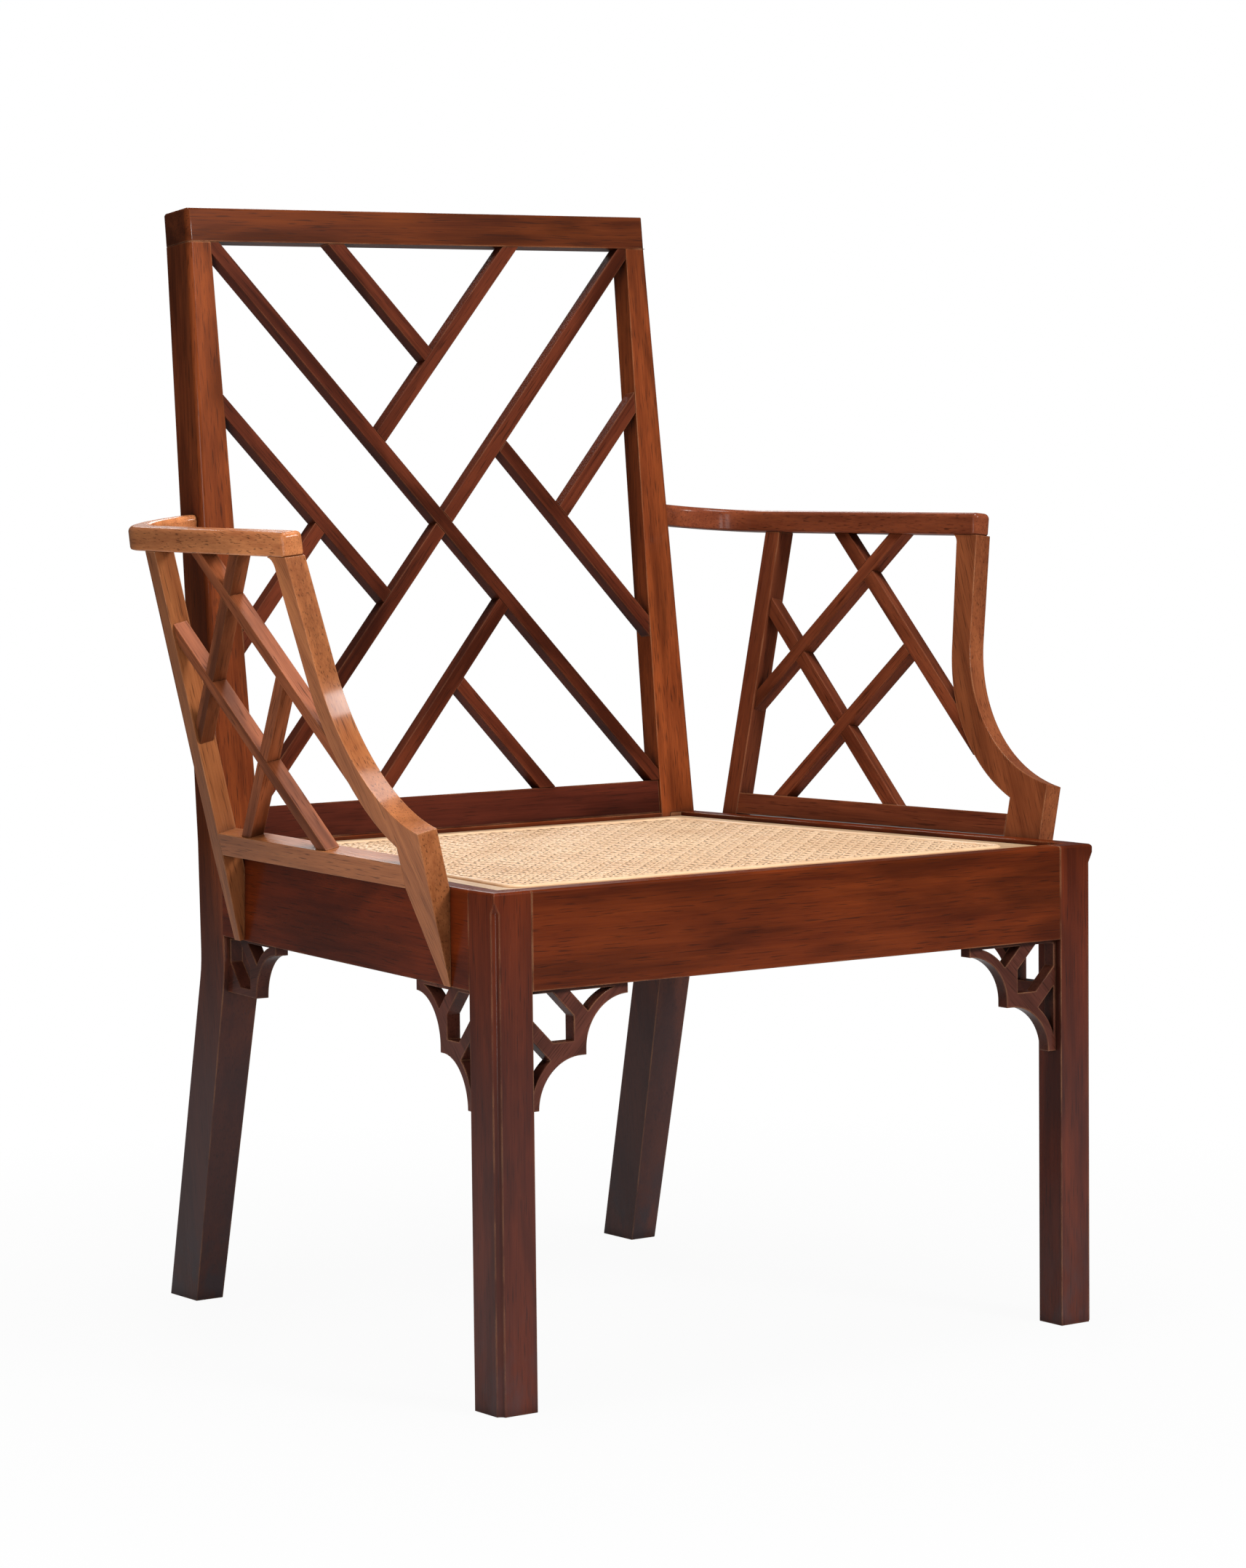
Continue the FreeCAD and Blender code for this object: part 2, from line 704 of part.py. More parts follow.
crest_tenon_left = crest_joint("crest_tenon_left", 0)
crest_mortise_left = crest_joint("crest_mortise_left", clear)
crest_mortise_right = mirrored("crest_mortise_right", crest_mortise_left)
crest_shaped = cut("crest_shaped", crest_blank(), crest_bevel(), crest_rounding,
                   mirrored("crest_rounding_right", crest_rounding))
keep("crest_rail", cut("crest_mortised", crest_shaped, crest_mortise_left, crest_mortise_right, fall.mortise,
                       climb.mortise, top_long.mortise, top_short.mortise))

lower_rail_back = -dim.lower_rail_setback - dim.lower_rail_depth
lower_rail_blank = box("lower_rail_blank", "Dims.upright_top_gap", "Dims.lower_rail_height",
                       "Dims.lower_rail_depth", back_frame * at(-half_top_gap, 0, lower_rail_back))
lower_rail_tenon = lower_rail_core("lower_rail_tenon", 0)
lower_rail_mortise = lower_rail_core("lower_rail_mortise", clear)
lower_rail_seated = common("lower_rail_seated", lower_rail_blank, between_stiles)
lower_rail_sized = fuse("lower_rail_tenoned", lower_rail_seated, lower_rail_tenon)
keep("lower_back_rail", cut("lower_rail_mortised", lower_rail_sized, fall.mortise, climb.mortise,
                            bottom_long.mortise, bottom_short.mortise))

# Arms: every member lies in a panel that stands on the side rail and leans outward

lean = math.radians(dim.arm_lean)
run_back = Vector(-math.sin(splay_angle), math.cos(splay_angle), 0)
outward = Vector(math.cos(splay_angle), math.sin(splay_angle), 0)
plumb = Vector(0, 0, 1)
rail_origin = Vector(side_x(front_y, 0), front_y, dim.seat_height)
rail_face = axes(rail_origin, run_back, plumb, outward)
toe = Rotation(plumb, -dim.arm_toe)
arm_run = toe.multVec(run_back)
arm_side = toe.multVec(outward)
panel_up = plumb * math.cos(lean) + arm_side * math.sin(lean)
panel_out = arm_side * math.cos(lean) - plumb * math.sin(lean)
panel = axes(rail_origin, arm_run, panel_up, panel_out)
panel_top = dim.arm_rise
tilt = math.radians(dim.armrest_tilt)
arm_up = plumb * math.cos(tilt) + arm_side * math.sin(tilt)
arm_inward = plumb * math.sin(tilt) - arm_side * math.cos(tilt)
arm_plan = axes(panel * Vector(0, panel_top, dim.arm_stock / 2), arm_run, arm_inward, arm_up)
tail_end = -dim.tail_drop / math.cos(lean)
inside_rail = box("inside_rail", far, far, far, rail_face * at(0, -far, -far))
above_arm = box("above_arm", far, 2 * far, far, arm_plan * at(0, -far, 0))


def post_tenon(name, setback, width, grow):
    """Tenon on top of an arm post, or the mortise for it in the armrest."""
    side = dim.arm_stock / 2
    start = setback + (width - side) / 2
    placement = panel * at(start - grow, panel_top - dim.arm_tenon, side / 2 - grow)
    return box(name, side + 2 * grow, 2 * dim.arm_tenon + grow, side + 2 * grow, placement)


def front_post_blank():
    """Front arm post: upright at the top, swept forward to a square tip, its tail cut flat to the rail."""
    body = new_body("front_post_body", panel)
    face = new_sketch(body, "front_post_face", "XY_Plane")
    bend = (post_bend_setback, dim.post_bend_height)
    sweep = (post_sweep_setback, dim.post_sweep_height)
    tip = (post_tip_setback, dim.post_tip_height)
    centre, radius = circle_through(bend, sweep, tip)

    def behind(point, width):
        share = width / radius
        return point[0] + (point[0] - centre[0]) * share, point[1] + (point[1] - centre[1]) * share

    back_bend = behind(bend, dim.post_top_width)
    back_sweep = behind(sweep, (dim.post_top_width + dim.post_width) / 2)
    hub, wide = circle_through(back_bend, back_sweep, behind(tip, dim.post_width))
    foot_back = post_tip_setback + dim.post_foot_length
    back_foot = (foot_back, hub[1] - math.sqrt(wide ** 2 - (foot_back - hub[0]) ** 2))
    top = panel_top + dim.arm_tenon
    flare_low = panel_top - dim.post_flare
    neck = (post_top_setback + dim.post_top_width, flare_low)
    flare_end = (neck[0] + dim.post_flare, panel_top)
    flare_middle = arc_middle((flare_end[0], flare_low), dim.post_flare, neck, flare_end)
    tail_front = (tip[0], tail_end)
    tail_back = (tip[0] + dim.tail_width, tail_end)
    back_middle = arc_middle(hub, wide, back_foot, back_bend)
    draw(face, [(post_top_setback, top), bend, (sweep, tip), tail_front, tail_back, (foot_back, 0),
                back_foot, (back_middle, back_bend), neck, (flare_middle, flare_end),
                (flare_end[0], top)])
    measure(face, "foot", "DistanceX", tip, (foot_back, 0), "Dims.post_foot_length")
    pad(body, face, "Dims.arm_stock")
    return cut("front_post_fitted", body, inside_rail, above_arm)


def rear_post_blank():
    """Rear arm post: straight, its tail cut flat to the rail."""
    body = new_body("rear_post_body", panel)
    face = new_sketch(body, "rear_post_face", "XY_Plane")
    start = rear_post_setback
    end = start + dim.rear_post_width
    taper = (dim.rear_post_width - dim.tail_width) / 2
    top = panel_top + dim.arm_tenon
    draw(face, [(start, top), (start, 0), (start + taper, tail_end), (end - taper, tail_end), (end, 0),
                (end, top)])
    measure(face, "wide", "DistanceX", (start, top), (end, top), "Dims.rear_post_width")
    pad(body, face, "Dims.arm_stock")
    return cut("rear_post_fitted", body, inside_rail, above_arm)


def armrest_landing():
    """Plan point where the middle of the armrest meets the outer face of the stile."""
    taper = (half_back - half_crest) / (stile_top - dim.seat_height)
    rake = math.tan(rake_angle)
    base = arm_plan * Vector(0, 0, dim.armrest_height / 2)

    def across(vector):
        return vector.x + taper * vector.z

    def back(vector):
        return vector.y - rake * vector.z

    far_out = half_back + taper * dim.seat_height - across(base)
    far_back = back_y + dim.armrest_landing - rake * dim.seat_height - back(base)
    turn = across(arm_run) * back(arm_inward) - across(arm_inward) * back(arm_run)
    setback = (far_out * back(arm_inward) - far_back * across(arm_inward)) / turn
    return setback, (far_back * across(arm_run) - far_out * back(arm_run)) / turn


landing = armrest_landing()


def armrest_blank():
    """Armrest: straight over the panel and tilted a little outward, then a bend inward to the stile."""
    body = new_body("armrest_body", arm_plan)
    plan = new_sketch(body, "armrest_plan", "XY_Plane")
    half = dim.armrest_width / 2
    bend = landing[0] - dim.armrest_bend
    hub = (bend, dim.armrest_bend)
    outer = dim.armrest_bend + half
    inner = dim.armrest_bend - half
    end = landing[1] + dim.armrest_width / 2
    bend_in = (bend, half)
    bend_out = (bend, -half)
    turn_in = (hub[0] + inner, hub[1])
    turn_out = (hub[0] + outer, hub[1])
    middle_in = arc_middle(hub, inner, bend_in, turn_in)
    middle_out = arc_middle(hub, outer, bend_out, turn_out)
    front_in = (post_top_setback, bend_in[1])
    front_out = (post_top_setback, bend_out[1])
    draw(plan, [front_in, bend_in, (middle_in, turn_in), (turn_in[0], end), (turn_out[0], end),
                turn_out, (middle_out, bend_out), front_out])
    measure(plan, "wide", "DistanceY", front_out, front_in, "Dims.armrest_width")
    feature = pad(body, plan, "Dims.armrest_height")

    def eased(edge):
        points = [vertex.Point for vertex in edge.Vertexes]
        landed = all(abs(point.y - end) < 0.01 for point in points)
        nose = all(abs(point.x - post_top_setback) < 0.01 for point in points)
        upright_edge = abs(points[0].z - points[-1].z) > dim.armrest_height / 2
        top = min(point.z for point in points) > dim.armrest_height / 2
        return (top and not landed) or (nose and upright_edge)

    round_edges(body, feature, "Dims.armrest_round", eased)
    return body


def armrest_joint(name, grow):
    """Tenon from the armrest into the stile."""
    length = dim.arm_tenon
    width = dim.armrest_width / 2
    height = dim.armrest_height / 2
    placement = arm_plan * at(landing[0] - width / 2 - grow, landing[1] - length, height / 2 - grow)
    return box(name, width + 2 * grow, 2 * length + grow, height + 2 * grow, placement)


def arm_rail_core(name, grow):
    """Tenons of the arm's bottom rail as one long core."""
    side = dim.arm_stock / 2
    tall = dim.arm_rail_height / 2
    start = arm_rail_start - dim.arm_tenon - grow
    length = rear_post_setback - arm_rail_start + 2 * dim.arm_tenon + 2 * grow
    placement = panel * at(start, tall / 2 - grow, side / 2 - grow)
    return box(name, length, tall + 2 * grow, side + 2 * grow, placement)


arm_rail_start = post_tip_setback + dim.post_foot_length
arm_rail_run = "(Dims.rear_post_share - Dims.post_tip_share) * Dims.seat_depth - Dims.post_foot_length"
arm_rail_blank = box("arm_rail_blank", arm_rail_run,
                     "Dims.arm_rail_height", "Dims.arm_stock", panel * at(arm_rail_start, 0, 0))
arm_rail_tenon = arm_rail_core("arm_rail_tenon", 0)
arm_rail_mortise = arm_rail_core("arm_rail_mortise", clear)
front_post = front_post_blank()
rear_post = rear_post_blank()
armrest = armrest_blank()
front_post_tenon = post_tenon("front_post_tenon", post_top_setback, dim.post_top_width, 0)
front_post_mortise = post_tenon("front_post_mortise", post_top_setback, dim.post_top_width, clear)
rear_post_tenon = post_tenon("rear_post_tenon", rear_post_setback, dim.rear_post_width, 0)
rear_post_mortise = post_tenon("rear_post_mortise", rear_post_setback, dim.rear_post_width, clear)
armrest_tenon = armrest_joint("armrest_tenon", 0)
armrest_mortise = armrest_joint("armrest_mortise", clear)

# Arm lattice: two bars that fall forward and two that fall backward round a diamond

forward_slope = math.tan(math.radians(dim.forward_fall))
backward_slope = math.tan(math.radians(dim.backward_fall))
diamond = (diamond_setback, dim.diamond_height)
diamond_reach = 2 * dim.diamond_half / (forward_slope + backward_slope)
top_corner = (diamond[0], diamond[1] + dim.diamond_half)
bottom_corner = (diamond[0], diamond[1] - dim.diamond_half)
front_corner = (diamond[0] - diamond_reach, top_corner[1] - diamond_reach * forward_slope)
back_corner = (diamond[0] + diamond_reach, top_corner[1] - diamond_reach * backward_slope)
arm_bar_low = (dim.arm_stock - dim.arm_bar_depth) / 2


def arm_bar(name, start, end, *joined, start_trim=0.0):
    """Arm lattice bar between two panel points that lie inside the pieces it joins."""
    axis, run = along(panel, start, end)
    bar = lattice_bar(name, axis, 0.0, run, "arm_bar_depth", arm_bar_low, start_trim=start_trim)
    shaped = cut(f"{name}_scribed", bar.blank, *joined)
    bar.solid = fuse(f"{name}_tenoned", shaped, bar.core)
    return bar


def level_with(corner, slope, height):
    """Point on the line through a corner with a slope, at a height in the panel."""
    return corner[0] + (height - corner[1]) / slope, height


def upright_with(corner, slope, setback):
    """Point on the line through a corner with a slope, at a distance along the panel."""
    return setback, corner[1] + (setback - corner[0]) * slope


into_armrest = panel_top + dim.arm_tenon / 2
into_rail = dim.arm_rail_height / 2
into_rear_post = rear_post_setback + dim.rear_post_width / 2
into_front_post = post_bend_setback - dim.post_width
bar_upper = arm_bar("arm_bar_upper", level_with(top_corner, forward_slope, into_armrest),
                    upright_with(top_corner, forward_slope, into_front_post), above_arm, front_post)
bar_rear = arm_bar("arm_bar_rear", level_with(top_corner, -backward_slope, into_armrest),
                   upright_with(top_corner, -backward_slope, into_rear_post), above_arm, rear_post)
bar_lower = arm_bar("arm_bar_lower", upright_with(back_corner, forward_slope, into_rear_post),
                    level_with(bottom_corner, forward_slope, into_rail), rear_post, arm_rail_blank)
bar_front = arm_bar("arm_bar_front", front_corner, level_with(bottom_corner, -backward_slope, into_rail),
                    bar_upper.blank, arm_rail_blank, start_trim=dim.bar_shoulder)

keep_pair("arm_bar_upper", cut("bar_upper_lapped", bar_upper.solid, bar_rear.low_lap, bar_front.mortise))
keep_pair("arm_bar_lower", cut("bar_lower_lapped", bar_lower.solid, bar_rear.low_lap, bar_front.low_lap))
keep_pair("arm_bar_rear", cut("bar_rear_lapped", bar_rear.solid, bar_upper.high_lap, bar_lower.high_lap))
keep_pair("arm_bar_front", cut("bar_front_lapped", bar_front.solid, bar_lower.high_lap))

# Screws from inside the side rails into the arm tails


def screw(name, setback, grow):
    """Screw square to the side rail, its head let into the inner face."""
    base = rail_face * at(setback, -dim.screw_drop, -dim.rail_thickness)
    head = cylinder(f"{name}_head", dim.screw_head_radius + grow, dim.screw_head_height + grow, base)
    reach = dim.rail_thickness + dim.screw_bite + grow
    shank = cylinder(f"{name}_shank", dim.screw_radius + grow, reach, base)
    return fuse(name, head, shank)


front_tail_middle = post_tip_setback + dim.tail_width
rear_tail_middle = rear_post_setback + dim.rear_post_width / 2
screw_places = {"front": front_tail_middle, "rear": rear_tail_middle}
screws = [screw(f"{end}_screw", setback, 0) for end, setback in screw_places.items()]
screw_holes = [screw(f"{end}_screw_hole", setback, clear) for end, setback in screw_places.items()]
screws_left = group("screws_left", *screws)
keep("arm_screws", group("arm_screw_set", screws_left, mirrored("screws_right", screws_left)))

front_post_sized = fuse("front_post_tenoned", front_post, front_post_tenon)
keep_pair("arm_front_post", cut("front_post_mortised", front_post_sized, arm_rail_mortise,
                                bar_upper.mortise, *screw_holes))
rear_post_sized = fuse("rear_post_tenoned", rear_post, rear_post_tenon)
keep_pair("arm_rear_post", cut("rear_post_mortised", rear_post_sized, arm_rail_mortise,
                               bar_rear.mortise, bar_lower.mortise, *screw_holes))
arm_rail_sized = fuse("arm_rail_tenoned", arm_rail_blank, arm_rail_tenon)
keep_pair("arm_bottom_rail", cut("arm_rail_mortised", arm_rail_sized, bar_lower.mortise,
                                 bar_front.mortise))
armrest_sized = fuse("armrest_tenoned", cut("armrest_landed", armrest, upright_sawn), armrest_tenon)
keep_pair("armrest", cut("armrest_mortised", armrest_sized, front_post_mortise, rear_post_mortise,
                         bar_upper.mortise, bar_rear.mortise))

# Legs, uprights and seat rails, with their mortises

keep_pair("front_leg", cut("leg_mortised", leg_blank, front_mortise, leg_mortise, seat_well))
upright_shaped = cut("upright_shaped", upright_sawn, bevel, stile_rounding)
upright_tenoned = fuse("upright_tenoned", upright_shaped, crest_tenon_left)
keep_pair("rear_upright", cut("upright_mortised", upright_tenoned, rear_mortise, upright_mortise,
                              lower_rail_mortise, armrest_mortise, fall.mortise, climb.mortise,
                              left_long.mortise, left_short.mortise))

front_rail_blank = box("front_rail_blank", 2 * leg_inner_x, "Dims.rail_thickness", "Dims.rail_height",
                       at(-leg_inner_x, front_y, rail_bottom))


def front_top(edge):
    """True for the upper front edge of the front rail."""
    return all(abs(vertex.Y - front_y) + abs(vertex.Z - dim.seat_height) < 0.01 for vertex in edge.Vertexes)


def side_top(edge):
    """True for the upper outer edge of the left side rail."""
    return all(abs(vertex.X - side_x(vertex.Y, 0)) + abs(vertex.Z - dim.seat_height) < 0.01
               for vertex in edge.Vertexes)


front_rail_eased = rounded("front_rail_eased", front_rail_blank, dim.rail_round, front_top)
front_rail_sized = fuse("front_rail_tenoned", front_rail_eased, front_tenon)
keep("front_seat_rail", cut("front_rail_rebated", front_rail_sized, seat_well))
rear_rail_front = back_y - dim.rear_ledge
rear_rail_back = rear_rail_front + dim.rear_rail_thickness
rear_rail_half = half_gap + (half_foot_gap - half_gap) * dim.rail_height / dim.seat_height
rear_rail_blank = tapered_block("rear_rail_blank", (-rear_rail_half, rear_rail_half), (-half_gap, half_gap),
                                "Dims.seat_height - Dims.rail_height", "Dims.seat_height",
                                -rear_rail_back, -rear_rail_front, upright)
rear_rail_sized = fuse("rear_rail_tenoned", rear_rail_blank, rear_tenon)
keep("rear_seat_rail", cut("rear_rail_rebated", rear_rail_sized, seat_well))
side_width = dim.rail_thickness * slant
side_rail_blank = tapered_block("side_rail_blank", (half_front - side_width, "Dims.front_width / 2"),
                                (half_back - side_width, "Dims.upright_gap / 2 + Dims.upright_width"),
                                leg_back_y, back_y, "Dims.seat_height - Dims.rail_height",
                                "Dims.seat_height")
side_rail_eased = rounded("side_rail_eased", side_rail_blank, dim.rail_round, side_top)
side_rail_sized = fuse("side_rail_tenoned", side_rail_eased, leg_tenon, upright_tenon)
keep_pair("side_seat_rail", cut("side_rail_rebated", side_rail_sized, seat_well, *screw_holes))

# Corner blocks glued inside the seat rails

def corner_block(name, corner, leg_x, leg_y, *fitted):
    """Three-cornered block, scribed to the pieces that it is glued to."""
    low = dim.seat_height - dim.block_drop - dim.block_height
    body = new_body(f"{name}_body", at(corner.x, corner.y, low))
    plan = new_sketch(body, f"{name}_plan", "XY_Plane")
    draw(plan, [(0, 0), (leg_x, 0), (0, leg_y)])
    pad(body, plan, "Dims.block_height")
    return cut(f"{name}_scribed", body, *fitted)


front_corner_y = front_y + dim.rail_thickness
rear_corner_y = back_y - dim.rear_ledge
block_front = Vector(side_x(front_corner_y, dim.rail_thickness), front_corner_y, 0)
block_rear = Vector(side_x(rear_corner_y, dim.rail_thickness), rear_corner_y, 0)
keep_pair("corner_block_front", corner_block("front_block", block_front, -dim.front_block, dim.front_block,
                                             leg_blank, side_rail_blank))
keep_pair("corner_block_rear", corner_block("rear_block", block_rear, -dim.rear_block, -dim.rear_block,
                                            side_rail_blank))

# Pierced brackets between legs and rails


def bracket(name, frame, low, leg, short):
    """Fretted bracket: local X runs along the rail, local Y down the leg."""
    body = new_body(f"{name}_body", frame * at(0, 0, low))
    face = new_sketch(body, f"{name}_face", "XY_Plane")
    length = dim.bracket_length
    edge = dim.bracket_edge
    hollow = dim.bracket_hollow
    strip = dim.bracket_strip
    slot = dim.bracket_slot
    end = dim.bracket_slot_end
    hub = (length, edge + hollow)
    heel = (length - hollow, edge + hollow)
    start = (-dim.bracket_rim, 0)
    upper = [start, (length, 0), (length, edge), (arc_middle(hub, hollow, (length, edge), heel), heel)]
    inner = hollow + dim.bracket_rim
    rail_point = (length - math.sqrt(inner ** 2 - (hub[1] - strip) ** 2), strip)
    step = slot + dim.bracket_bar
    lead = (hub[0] + hub[1] + step) / 2
    tip_x = lead - math.sqrt(inner ** 2 / 2 - ((hub[0] - hub[1] - step) / 2) ** 2)
    tip = (tip_x, tip_x - step)
    triangle = [(strip + step, strip), rail_point, (arc_middle(hub, inner, rail_point, tip), tip)]

    def turned(point):
        return point[1], point[0]

    if short:
        draw(face, upper + [(start[0], heel[1])])
    else:
        lower_arc = arc_middle(turned(hub), hollow, turned(heel), (edge, length))
        draw(face, upper + [(heel[0], heel[0]), turned(heel), (lower_arc, (edge, length)),
                            (start[0], length)])
        draw(face, [turned(triangle[0]), turned(rail_point), (turned(triangle[2][0]), turned(tip))])
    draw(face, triangle)
    draw(face, [(strip, strip), (strip + slot, strip), (end, end - slot), (end, end), (end - slot, end),
                (strip, strip + slot)])
    measure(face, "edge", "DistanceY", (length, 0), (length, edge), "Dims.bracket_edge")
    pad(body, face, "Dims.bracket_thickness")
    return cut(f"{name}_scribed", body, leg)


down = Vector(0, 0, -1)
inward_low = dim.side_bracket_recess
outward_low = -dim.bracket_recess - dim.bracket_thickness
front_place = axes(Vector(leg_inner_x, front_y, rail_bottom), Vector(-1, 0, 0), down, Vector(0, -1, 0))
leg_place = axes(Vector(half_front, leg_back_y, rail_bottom), run_back, down, outward * -1)
upright_place = axes(Vector(half_back, back_y, rail_bottom), run_back * -1, down, outward)
keep_pair("bracket_front_rail", bracket("bracket_front_rail", front_place, outward_low, leg_blank, False))
keep_pair("bracket_side_rail", bracket("bracket_side_rail", leg_place, inward_low, leg_blank, False))
keep_pair("bracket_rear", bracket("bracket_rear", upright_place, outward_low, upright_sawn, True))

# Drop-in seat: a tenoned frame with a caned top

frame_low = ledge + dim.seat_lift_gap
frame_high = frame_low + dim.seat_frame_thickness
cane_high = frame_high + dim.cane_thickness
frame_inset = dim.seat_gap + dim.seat_frame_width
outer_plan = seat_plan("seat_outer", dim.seat_gap, frame_low, frame_high)
inner_plan = seat_plan("seat_inner", frame_inset, frame_low - far, frame_high + far)
ring = cut("seat_ring", outer_plan, inner_plan)
seat_front_end = front_y + dim.seat_lip + frame_inset
seat_back_start = back_y - dim.seat_lift_gap - frame_inset
front_zone = box("seat_front_zone", 2 * far, far, far, at(-far, seat_front_end - far, 0))
back_zone = box("seat_back_zone", 2 * far, far, far, at(-far, seat_back_start, 0))
left_zone = box("seat_left_zone", far, 2 * far, far, at(0, -far, 0))
seat_side = common("seat_side_left", cut("seat_sides", ring, front_zone, back_zone), left_zone)


def seat_tenon(name, y, grow):
    """Tenon between a seat frame side and a cross member, half in each."""
    x = side_x(y, dim.seat_lip + dim.seat_gap + dim.seat_frame_width / 2) - dim.seat_tenon_width / 2
    low = frame_low + (dim.seat_frame_thickness - dim.seat_tenon_thickness) / 2
    return box(name, dim.seat_tenon_width + 2 * grow, 2 * (dim.tenon_length + grow),
               dim.seat_tenon_thickness + 2 * grow, at(x - grow, y - dim.tenon_length - grow, low - grow))


seat_tenon_front = seat_tenon("seat_tenon_front", seat_front_end, 0)
seat_tenon_back = seat_tenon("seat_tenon_back", seat_back_start, 0)
seat_mortise_front = seat_tenon("seat_mortise_front", seat_front_end, clear)
seat_mortise_back = seat_tenon("seat_mortise_back", seat_back_start, clear)
seat_front = common("seat_front", ring, front_zone)
seat_back = common("seat_back", ring, back_zone)
keep("seat_frame_front", cut("seat_front_mortised", seat_front, seat_mortise_front,
                             mirrored("seat_mortise_front_right", seat_mortise_front)))
keep("seat_frame_back", cut("seat_back_mortised", seat_back, seat_mortise_back,
                            mirrored("seat_mortise_back_right", seat_mortise_back)))
keep_pair("seat_frame_side", fuse("seat_side_tenoned", seat_side, seat_tenon_front, seat_tenon_back))
cane_inset = frame_inset - dim.cane_lap
binding_inset = cane_inset + dim.binding_width


def cane_slats():
    """Strips that cross between the openings of the cane panel."""
    slat = dim.cane_slat
    deep = seat_back_start - seat_front_end
    half = side_x(seat_front_end, dim.seat_lip + frame_inset)
    columns = int(dim.cane_columns)
    rows = int(dim.cane_rows)
    across = [box(f"cane_column{n}", "Dims.cane_slat", 2 * far, far,
                  at(2 * half * n / columns - half - slat / 2, -far, frame_high - far / 2))
              for n in range(1, columns)]
    along_rows = [box(f"cane_row{n}", 2 * far, "Dims.cane_slat", far,
                      at(-far, seat_front_end + deep * n / rows - slat / 2, frame_high - far / 2))
                  for n in range(1, rows)]
    return fuse("cane_slats", *across, *along_rows)


cane_plate = seat_plan("cane_plate", binding_inset, frame_high, cane_high)
cane_open = seat_plan("cane_open", frame_inset, frame_low, cane_high + dim.cane_thickness)
keep("cane_panel", cut("cane_pierced", cane_plate, cut("cane_openings", cane_open, cane_slats())))
binding_outer = seat_plan("binding_outer", cane_inset, frame_high, frame_high + dim.binding_thickness)
binding_inner = seat_plan("binding_inner", binding_inset, frame_high - far, frame_high + far)
keep("cane_binding", cut("binding_strip", binding_outer, binding_inner))

# Check every object and write one solid file for each sub-part

doc.recompute()
for obj in doc.Objects:
    faults = [state for state in obj.State if state in ("Invalid", "Error")]
    if faults:
        raise RuntimeError(f"{obj.Name}: {faults}")
os.makedirs("parts", exist_ok=True)
for obj in nodes:
    if obj.Shape.isNull() or not obj.Shape.isValid() or not obj.Shape.Solids:
        raise RuntimeError(f"{obj.Label} has no sound solid")
    obj.Shape.exportStep(f"parts/{obj.Label}.step")
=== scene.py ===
import math

import bpy
import numpy as np
from mathutils import Matrix, Vector


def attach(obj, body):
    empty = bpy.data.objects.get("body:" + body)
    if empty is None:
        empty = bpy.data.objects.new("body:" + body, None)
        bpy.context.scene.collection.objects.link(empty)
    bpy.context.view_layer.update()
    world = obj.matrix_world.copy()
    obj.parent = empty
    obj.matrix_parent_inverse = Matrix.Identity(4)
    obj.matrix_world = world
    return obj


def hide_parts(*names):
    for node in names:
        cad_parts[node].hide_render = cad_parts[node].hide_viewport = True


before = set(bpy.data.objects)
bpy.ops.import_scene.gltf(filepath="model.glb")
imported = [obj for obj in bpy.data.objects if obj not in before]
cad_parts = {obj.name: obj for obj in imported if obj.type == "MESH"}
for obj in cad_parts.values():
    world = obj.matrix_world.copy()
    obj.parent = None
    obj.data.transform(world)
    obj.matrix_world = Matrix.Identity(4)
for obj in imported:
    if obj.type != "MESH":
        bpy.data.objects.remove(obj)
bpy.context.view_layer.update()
scene = bpy.context.scene
scene.view_settings.view_transform = "Standard"

# Sizes in metres and places in the chair's frame: +Z up, front towards -Y, +X to the sitter's left

# Camera
PHOTO_TALL = 2156
FOCAL_PIXELS = 6192.9
SENSOR_SIZE = 36
SIGHT_END = 100
CAMERA_PLACE = Vector((-2.2549, -3.1931, 0.7752))
CAMERA_YAW = math.radians(35.646)
CAMERA_PITCH = math.radians(4.551)
CAMERA_ROLL = math.radians(-0.618)

# Lamps, each with its name, place, target, width, height and watts
LAMPS = (
    ("key", (0.9, -3.2, 2.4), (0, 0, 0.5), 0.9, 0.9, 100),
    ("left_strip", (-1.4, -0.9, 0.5), (-0.2, 0, 0.35), 0.16, 0.9, 4),
    ("arm_strip", (-0.85, -0.25, 0.70), (-0.3, -0.05, 0.6), 0.16, 0.5, 1.4),
    ("top", (-0.1, -0.2, 2.9), (0, 0, 0.5), 1.0, 1.0, 44),
    ("behind", (1.4, 2.8, 2.2), (0, 0, 0.6), 1.2, 1.2, 26),
)

# Floor and surroundings; each white share of the floor changes over a range of distance from the chair
WHITE = (1, 1, 1, 1)
SKY_STRENGTH = 0.07
FLOOR_HALF = 14.0
FLOOR_GREY = (0.48, 0.48, 0.48, 1)
SHADOW_DISTANCE = (0.35, 1.15)
SHADOW_WHITE = (0.95, 1.0)
REFLECTED_DISTANCE = (0.6, 2.6)
REFLECTED_WHITE = (0.3, 0.0)

# Edges: widths of the rounding, angles from which an edge is rounded, angles within which faces are joined
ARRIS_ROUND = 0.0005
ARM_ROUND = 0.0018
ARRIS_ANGLE = math.radians(32)
BAR_ANGLE = math.radians(50)
FLAT_ANGLE = math.radians(0.5)
PLANK_ANGLE = math.radians(2)
ARRIS_STEPS = 2
WELD_REACH = 0.00002
FACE_WEIGHT = 80

